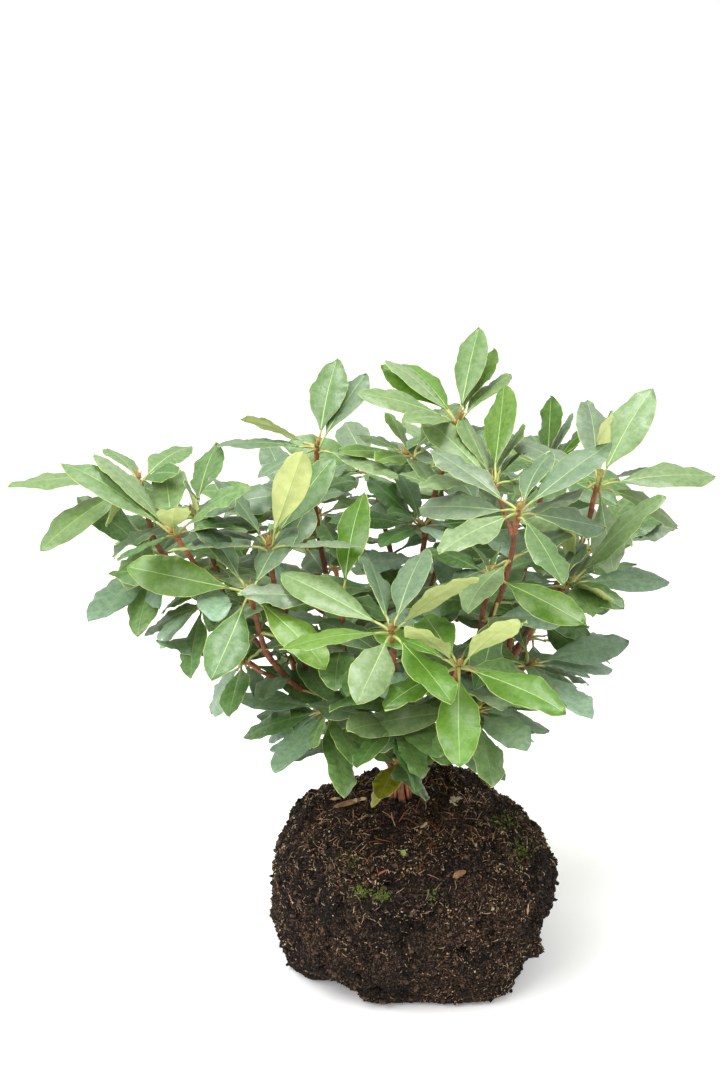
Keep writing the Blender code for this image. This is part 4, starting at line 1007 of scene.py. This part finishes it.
clod = np.clip(f2 - f1, 0.0, 0.45)
grain = np.clip(g2 - g1, 0.0, 0.40)
lift = 0.0070 * rough(co / 0.055, 3, 20) + 0.0085 * (clod - 0.2) + 0.0046 * (grain - 0.2) + 0.0022 * rough(co / 0.0045, 2, 30)
pits = np.clip(rough(co / 0.018, 2, 44) - 0.30, 0.0, 1.0)
lift = lift - 0.016 * pits + 0.0008
off_stem = np.linalg.norm(co[:, :2] - np.array(STEM_AT), axis=1)
heaped = np.exp(-((off_stem - 0.024) / 0.009) ** 2) * (co[:, 2] > 0.19)      # peat drawn up round the foot of the stem
for (px, py), spread, depth in (((312, 948), 0.012, 0.006), ((300, 966), 0.010, 0.006), ((536, 950), 0.0125, 0.013), ((530, 974), 0.014, -0.010),
                                ((553, 870), 0.014, 0.006), ((300, 800), 0.016, 0.009), ((284, 838), 0.012, 0.004),
                                ((500, 800), 0.020, -0.004), ((436, 768), 0.018, 0.004), ((477, 787), 0.014, 0.005)):
    xy, _ = pixels(co)
    seen = ((EYE - co) * nor).sum(1) > 0
    spot = co[np.argmin(np.where(seen, np.hypot(xy[:, 0] - px, xy[:, 1] - py), 1e6))]
    near = np.exp(-((co - spot) ** 2).sum(1) / (2.0 * spread * spread))
    lift = lift + depth * near
    flat = np.maximum(flat, np.minimum(near * 1.4, 1.0) * (depth < 0))
co = co + nor * (lift * (0.12 + 0.88 * flat) * (0.15 + 0.85 * seat))[:, None]
co[:, 2] += heaped * (0.007 + 0.006 * rough(base_co / 0.010, 2, 91))
inward = unit(np.array((0.70, 0.70, 0.12)))                   # the hollow under the edge at the front left
bite = np.exp(-((co[:, :2] - np.array((-0.108, -0.116))) ** 2).sum(1) / (2.0 * 0.019 ** 2) - ((co[:, 2] - 0.008) / 0.020) ** 2)
co = co + inward * (0.040 * bite)[:, None]
under = base_co[:, 2] < 0.0015
co[:, 2] = np.where(under, np.maximum(co[:, 2], 0.0003), np.maximum(co[:, 2], 0.0003))
even.vertices.foreach_set("co", co.ravel())
even.update()
even.polygons.foreach_set("use_smooth", np.ones(len(even.polygons), bool))
even.materials.clear()
even.materials.append(BALL_MATS[0])
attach(ball, "root")
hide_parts("root_ball")
even.update()
nor = np.zeros(count * 3)
even.vertices.foreach_get("normal", nor)
nor = nor.reshape(-1, 3)
print("ball relief:", count, "points")

skin = np.where((co[:, 2] > 0.004))[0]
pick = np.random.default_rng(SEED)
front_bias = 1.0


def frame_at(i):
    n0 = unit(nor[i])
    a = unit(np.cross(n0, (0.3, 0.5, 0.8)))
    return n0, a, np.cross(n0, a)


crumbs = Heap("peat_crumbs", BALL_MATS, "peat")
gold = (1 + 5 ** 0.5) / 2
ICO_V = np.array([(-1, gold, 0), (1, gold, 0), (-1, -gold, 0), (1, -gold, 0), (0, -1, gold), (0, 1, gold), (0, -1, -gold), (0, 1, -gold), (gold, 0, -1), (gold, 0, 1), (-gold, 0, -1), (-gold, 0, 1)]) / 1.902
ICO_F = np.array([(0, 11, 5), (0, 5, 1), (0, 1, 7), (0, 7, 10), (0, 10, 11), (1, 5, 9), (5, 11, 4), (11, 10, 2), (10, 7, 6), (7, 1, 8), (3, 9, 4), (3, 4, 2), (3, 2, 6), (3, 6, 8), (3, 8, 9), (4, 9, 5), (2, 4, 11), (6, 2, 10), (8, 6, 7), (9, 8, 1)])
for i in pick.choice(skin, 2600, replace=True):
    n0, a, b = frame_at(i)
    size = 0.0011 + 0.0024 * pick.random() ** 2.5
    stretch = pick.uniform(0.50, 1.60, 3)
    v = ICO_V * pick.uniform(0.55, 1.30, (12, 1)) * stretch * size
    spin = pick.random() * 6.28
    a2, b2 = a * math.cos(spin) + b * math.sin(spin), b * math.cos(spin) - a * math.sin(spin)
    v = co[i] + n0 * size * 0.25 + v[:, :1] * a2 + v[:, 1:2] * b2 + v[:, 2:] * n0
    if v[:, 2].min() < 0.0004:
        continue
    crumbs.add(v, tris=ICO_F, mt=1 if pick.random() < 0.55 else 2)
off_stem = np.linalg.norm(co[skin, :2] - np.array(STEM_AT), axis=1)
foot_of = np.exp(-((off_stem - 0.020) / 0.007) ** 2) * (co[skin, 2] > 0.19)
for i in pick.choice(skin, 420, replace=True, p=foot_of / foot_of.sum()):          # loose peat against the stem
    n0, a, b = frame_at(i)
    size = 0.0012 + 0.0022 * pick.random() ** 2.0
    v = ICO_V * pick.uniform(0.55, 1.30, (12, 1)) * pick.uniform(0.50, 1.60, 3) * size
    v = co[i] + n0 * size * pick.uniform(0.2, 1.8) + v[:, :1] * a + v[:, 1:2] * b + v[:, 2:] * n0
    crumbs.add(v, tris=ICO_F, mt=1 if pick.random() < 0.60 else 2)
crumbs.build(smooth=False)

fibres = Heap("peat_fibres", BALL_MATS, "peat")


def strand(i, length, radius, mat, bend=1.0, lift_by=0.0015, sides=3, steps=6, heading=None):
    n0, a, b = frame_at(i)
    spin = pick.random() * 6.28 if heading is None else heading
    h = a * math.cos(spin) + b * math.sin(spin)
    p = co[i] + n0 * (radius + 0.0003)
    pts = [p]
    for k in range(steps):
        h = unit(h + 0.32 * bend * (a * pick.normal() + b * pick.normal()) * 0.6 + n0 * pick.normal() * 0.10 * bend)
        p = p + h * length / steps
        near = p
        pts.append(near + n0 * lift_by * math.sin(math.pi * (k + 1) / steps))
    pts = np.array(pts)
    if pts[:, 2].min() < 0.002:
        return
    radii = np.linspace(radius, radius * 0.45, steps + 1)
    v, q, t = tube(pts, radii, sides)
    fibres.add(v, q, t, mq=mat, mt=mat)


thick_of = np.clip(0.35 + 1.6 * rough(base_co[skin] / 0.030, 2, 71), 0.03, 1.0)
for i in pick.choice(skin, 4250, replace=True, p=thick_of / thick_of.sum()):
    kind = pick.random()
    strand(i, 0.0020 + 0.0060 * pick.random() ** 2.2, 0.00024 + 0.00026 * pick.random(), 10 if kind < 0.22 else 3 if kind < 0.58 else 4,
           bend=0.45, lift_by=0.0007, steps=2)
OCT_V = np.array(((1, 0, 0), (-1, 0, 0), (0, 1, 0), (0, -1, 0), (0, 0, 1), (0, 0, -1)), float)
OCT_F = np.array(((0, 2, 4), (2, 1, 4), (1, 3, 4), (3, 0, 4), (2, 0, 5), (1, 2, 5), (3, 1, 5), (0, 3, 5)))
for i in pick.choice(skin, 5200, replace=True, p=thick_of / thick_of.sum()):      # bright and dark specks
    n0, a, b = frame_at(i)
    size = 0.0005 + 0.0010 * pick.random() ** 2
    v = OCT_V * pick.uniform(0.5, 1.6, (6, 1)) * size
    v = co[i] + n0 * 0.0005 + v[:, :1] * a + v[:, 1:2] * b + v[:, 2:] * n0
    kind = pick.random()
    if v[:, 2].min() > 0.0005:
        fibres.add(v, tris=OCT_F, mt=10 if kind < 0.14 else 3 if kind < 0.36 else 2 if kind < 0.58 else 1)
top_skin = np.where((co[:, 2] > 0.13))[0]
near_stem = top_skin[np.linalg.norm(co[top_skin, :2] - np.array(STEM_AT), axis=1) < 0.11]
for i in pick.choice(near_stem, 170, replace=True):
    strand(i, 0.008 + 0.016 * pick.random(), 0.00026 + 0.00030 * pick.random(), 5 if pick.random() < 0.55 else 3, bend=0.8, steps=5)
for i in pick.choice(top_skin, 260, replace=True):
    strand(i, 0.006 + 0.010 * pick.random(), 0.00024 + 0.0002 * pick.random(), 3 if pick.random() < 0.6 else 10, bend=1.0, steps=5)
fibres.build()


def nearest_on_ball(px, py):
    """The point of the ball's front that shows at a pixel."""
    xy, _ = pixels(co)
    d = np.hypot(xy[:, 0] - px, xy[:, 1] - py)
    facing = ((EYE - co) * nor).sum(1) > 0
    d = np.where(facing, d, 1e6)
    return int(np.argmin(d))


litter = Heap("litter", BALL_MATS, "peat")


def chip(px, py, length, wide, thick, mat, turn, ragged=0.16, proud=0.0010):
    i = nearest_on_ball(px, py)
    n0, a, b = frame_at(i)
    side = unit(np.array((1.0, 0.0, 0.0)) - n0 * n0[0])
    up = np.cross(n0, side)
    h = side * math.cos(turn) + up * math.sin(turn)
    w = np.cross(n0, h)
    u = np.linspace(-1, 1, 9)
    rows_v = []
    for k, x in enumerate(u):
        taper = ((1 - abs(x) ** 3) ** 0.6 if abs(x) < 1 else 0.18) * pick.uniform(1.0 - 1.6 * ragged, 1.0)
        for y, z in ((-1, -0.6), (-0.6, 0.7), (0.2, 1.0), (0.8, 0.5), (1, -0.4), (0.2, -1.0)):
            j = 1 + ragged * pick.normal()
            rows_v.append(co[i] + n0 * (thick * 0.5 + proud) + h * x * length / 2 + w * y * wide / 2 * taper * j + n0 * z * thick / 2 * taper)
    v = np.array(rows_v)
    v = np.concatenate((v, v[:6].mean(0)[None], v[-6:].mean(0)[None]))
    a6 = np.arange(6)
    b6 = (a6 + 1) % 6
    q = np.concatenate([np.stack((k * 6 + a6, k * 6 + b6, (k + 1) * 6 + b6, (k + 1) * 6 + a6), 1) for k in range(8)])
    t = np.concatenate((np.stack((np.full(6, 54), b6, a6), 1), np.stack((np.full(6, 55), 48 + a6, 48 + b6), 1)))
    litter.add(v, q[:, ::-1], t[:, ::-1], mq=mat, mt=mat)


chip(460, 873, 0.021, 0.009, 0.0035, 6, 0.5)
chip(456, 799, 0.015, 0.009, 0.0022, 7, 0.1, 0.30)
chip(452, 804, 0.012, 0.004, 0.0016, 7, -0.5, 0.30)
chip(349, 806, 0.036, 0.011, 0.0040, 6, 0.0, 0.20, 0.0030)
chip(360, 803, 0.018, 0.007, 0.0030, 3, 0.15, 0.30, 0.0040)
chip(336, 801, 0.016, 0.006, 0.0024, 3, 0.25, 0.30, 0.0020)
chip(425, 827, 0.011, 0.005, 0.0022, 7, 0.6, 0.25)
chip(403, 855, 0.020, 0.013, 0.0010, 9, 0.1, 0.22, 0.0030)
chip(382, 873, 0.020, 0.003, 0.0018, 5, 0.35)
chip(372, 881, 0.012, 0.0022, 0.0015, 3, -0.3)
chip(528, 908, 0.014, 0.0022, 0.0015, 3, 1.5)
chip(517, 835, 0.018, 0.0024, 0.0015, 3, -0.1)
for trail, radius, mat in ((((402, 797), (403, 806), (403, 813), (399, 823)), 0.0010, 5), (((393, 800), (392, 814), (395, 827)), 0.0008, 3)):
    points = []                                               # bare roots that run down from the stem
    for px, py in trail:
        i = nearest_on_ball(px, py)
        points.append(co[i] + unit(nor[i]) * radius * 1.5)
    l = Limb("root", points, radius, radius * 0.5)
    s = np.linspace(0.0, l.length, 16)
    v, q, t = tube(l.at(s), l.radius(s), 6)
    litter.add(v, q, t, mq=mat, mt=mat)
for px, py, spread, amount in ((361, 891, 6, 60), (379, 895, 8, 80), (522, 850, 14, 110), (505, 822, 12, 80), (350, 858, 16, 24), (432, 895, 8, 20)):
    for _ in range(amount):
        i = nearest_on_ball(px + pick.normal() * spread * 0.6, py + pick.normal() * spread * 0.42)
        n0, a, b = frame_at(i)
        for _ in range(3):
            spin = pick.random() * 6.28
            h = unit(a * math.cos(spin) + b * math.sin(spin) + n0 * 1.1)
            p = np.stack([co[i] + n0 * 0.0002 + h * u * (0.0016 + 0.0022 * pick.random()) for u in (0.0, 0.5, 1.0)])
            v, q, t = tube(p, np.array((0.0003, 0.00055, 0.00008)), 4)
            litter.add(v, q, t, mq=8, mt=8)
litter.build(smooth=False)

# ------------------------------------------------------------ stage, light, view
scene = bpy.context.scene
fm, fb = material("floor", (250, 250, 250), 0.75, 0.2)
fb.inputs["Emission Color"].default_value = (1.0, 1.0, 1.0, 1.0)
n, link = fm.node_tree.nodes, fm.node_tree.links
where = n.new("ShaderNodeTexCoord")
far_off = n.new("ShaderNodeVectorMath")
far_off.operation = "LENGTH"
link.new(where.outputs["Object"], far_off.inputs[0])
glow = n.new("ShaderNodeMapRange")                            # a little more light on the floor further off
glow.inputs["From Min"].default_value, glow.inputs["From Max"].default_value = 1.0, 5.0
glow.inputs["To Min"].default_value, glow.inputs["To Max"].default_value = 0.13, 0.26
link.new(far_off.outputs["Value"], glow.inputs["Value"])
link.new(glow.outputs["Result"], fb.inputs["Emission Strength"])
me = bpy.data.meshes.new("floor")
me.from_pydata([(-60, -60, 0), (60, -60, 0), (60, 60, 0), (-60, 60, 0)], [], [(0, 1, 2, 3)])
me.materials.append(fm)
floor = bpy.data.objects.new("floor", me)
floor.location.z = -0.0004
scene.collection.objects.link(floor)
floor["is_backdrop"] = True

world = bpy.data.worlds.new("studio")
scene.world = world
world.use_nodes = True
bg = world.node_tree.nodes["Background"]
bg.inputs["Color"].default_value = (0.985, 0.985, 0.98, 1.0)
bg.inputs["Strength"].default_value = 0.93


def lamp(name, place, target, size, energy, colour=(1.0, 1.0, 1.0)):
    data = bpy.data.lights.new(name, "AREA")
    data.shape = "DISK"
    data.size, data.energy, data.color = size, energy, colour
    o = bpy.data.objects.new(name, data)
    o.location = place
    o.rotation_euler = (Vector(target) - Vector(place)).to_track_quat("-Z", "Y").to_euler()
    scene.collection.objects.link(o)


lamp("key", (-1.7, -1.4, 2.6), (-0.12, 0.0, 0.45), 2.0, 84.0)
lamp("fill", (1.9, -1.5, 2.0), (-0.05, 0.0, 0.40), 1.4, 10.0)
lamp("top", (0.1, 0.2, 2.8), (-0.05, 0.0, 0.40), 1.0, 46.0)

cam = bpy.data.cameras.new("camera")
cam.sensor_fit, cam.sensor_width, cam.lens = "AUTO", 36.0, 60.0
cam.clip_start, cam.clip_end = 0.05, 60.0
eye = bpy.data.objects.new("camera", cam)
eye.location = EYE
eye.rotation_euler = (math.pi / 2 - TILT, 0.0, 0.0)
scene.collection.objects.link(eye)
scene.camera = eye
scene.view_settings.view_transform = "Standard"

low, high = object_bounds()
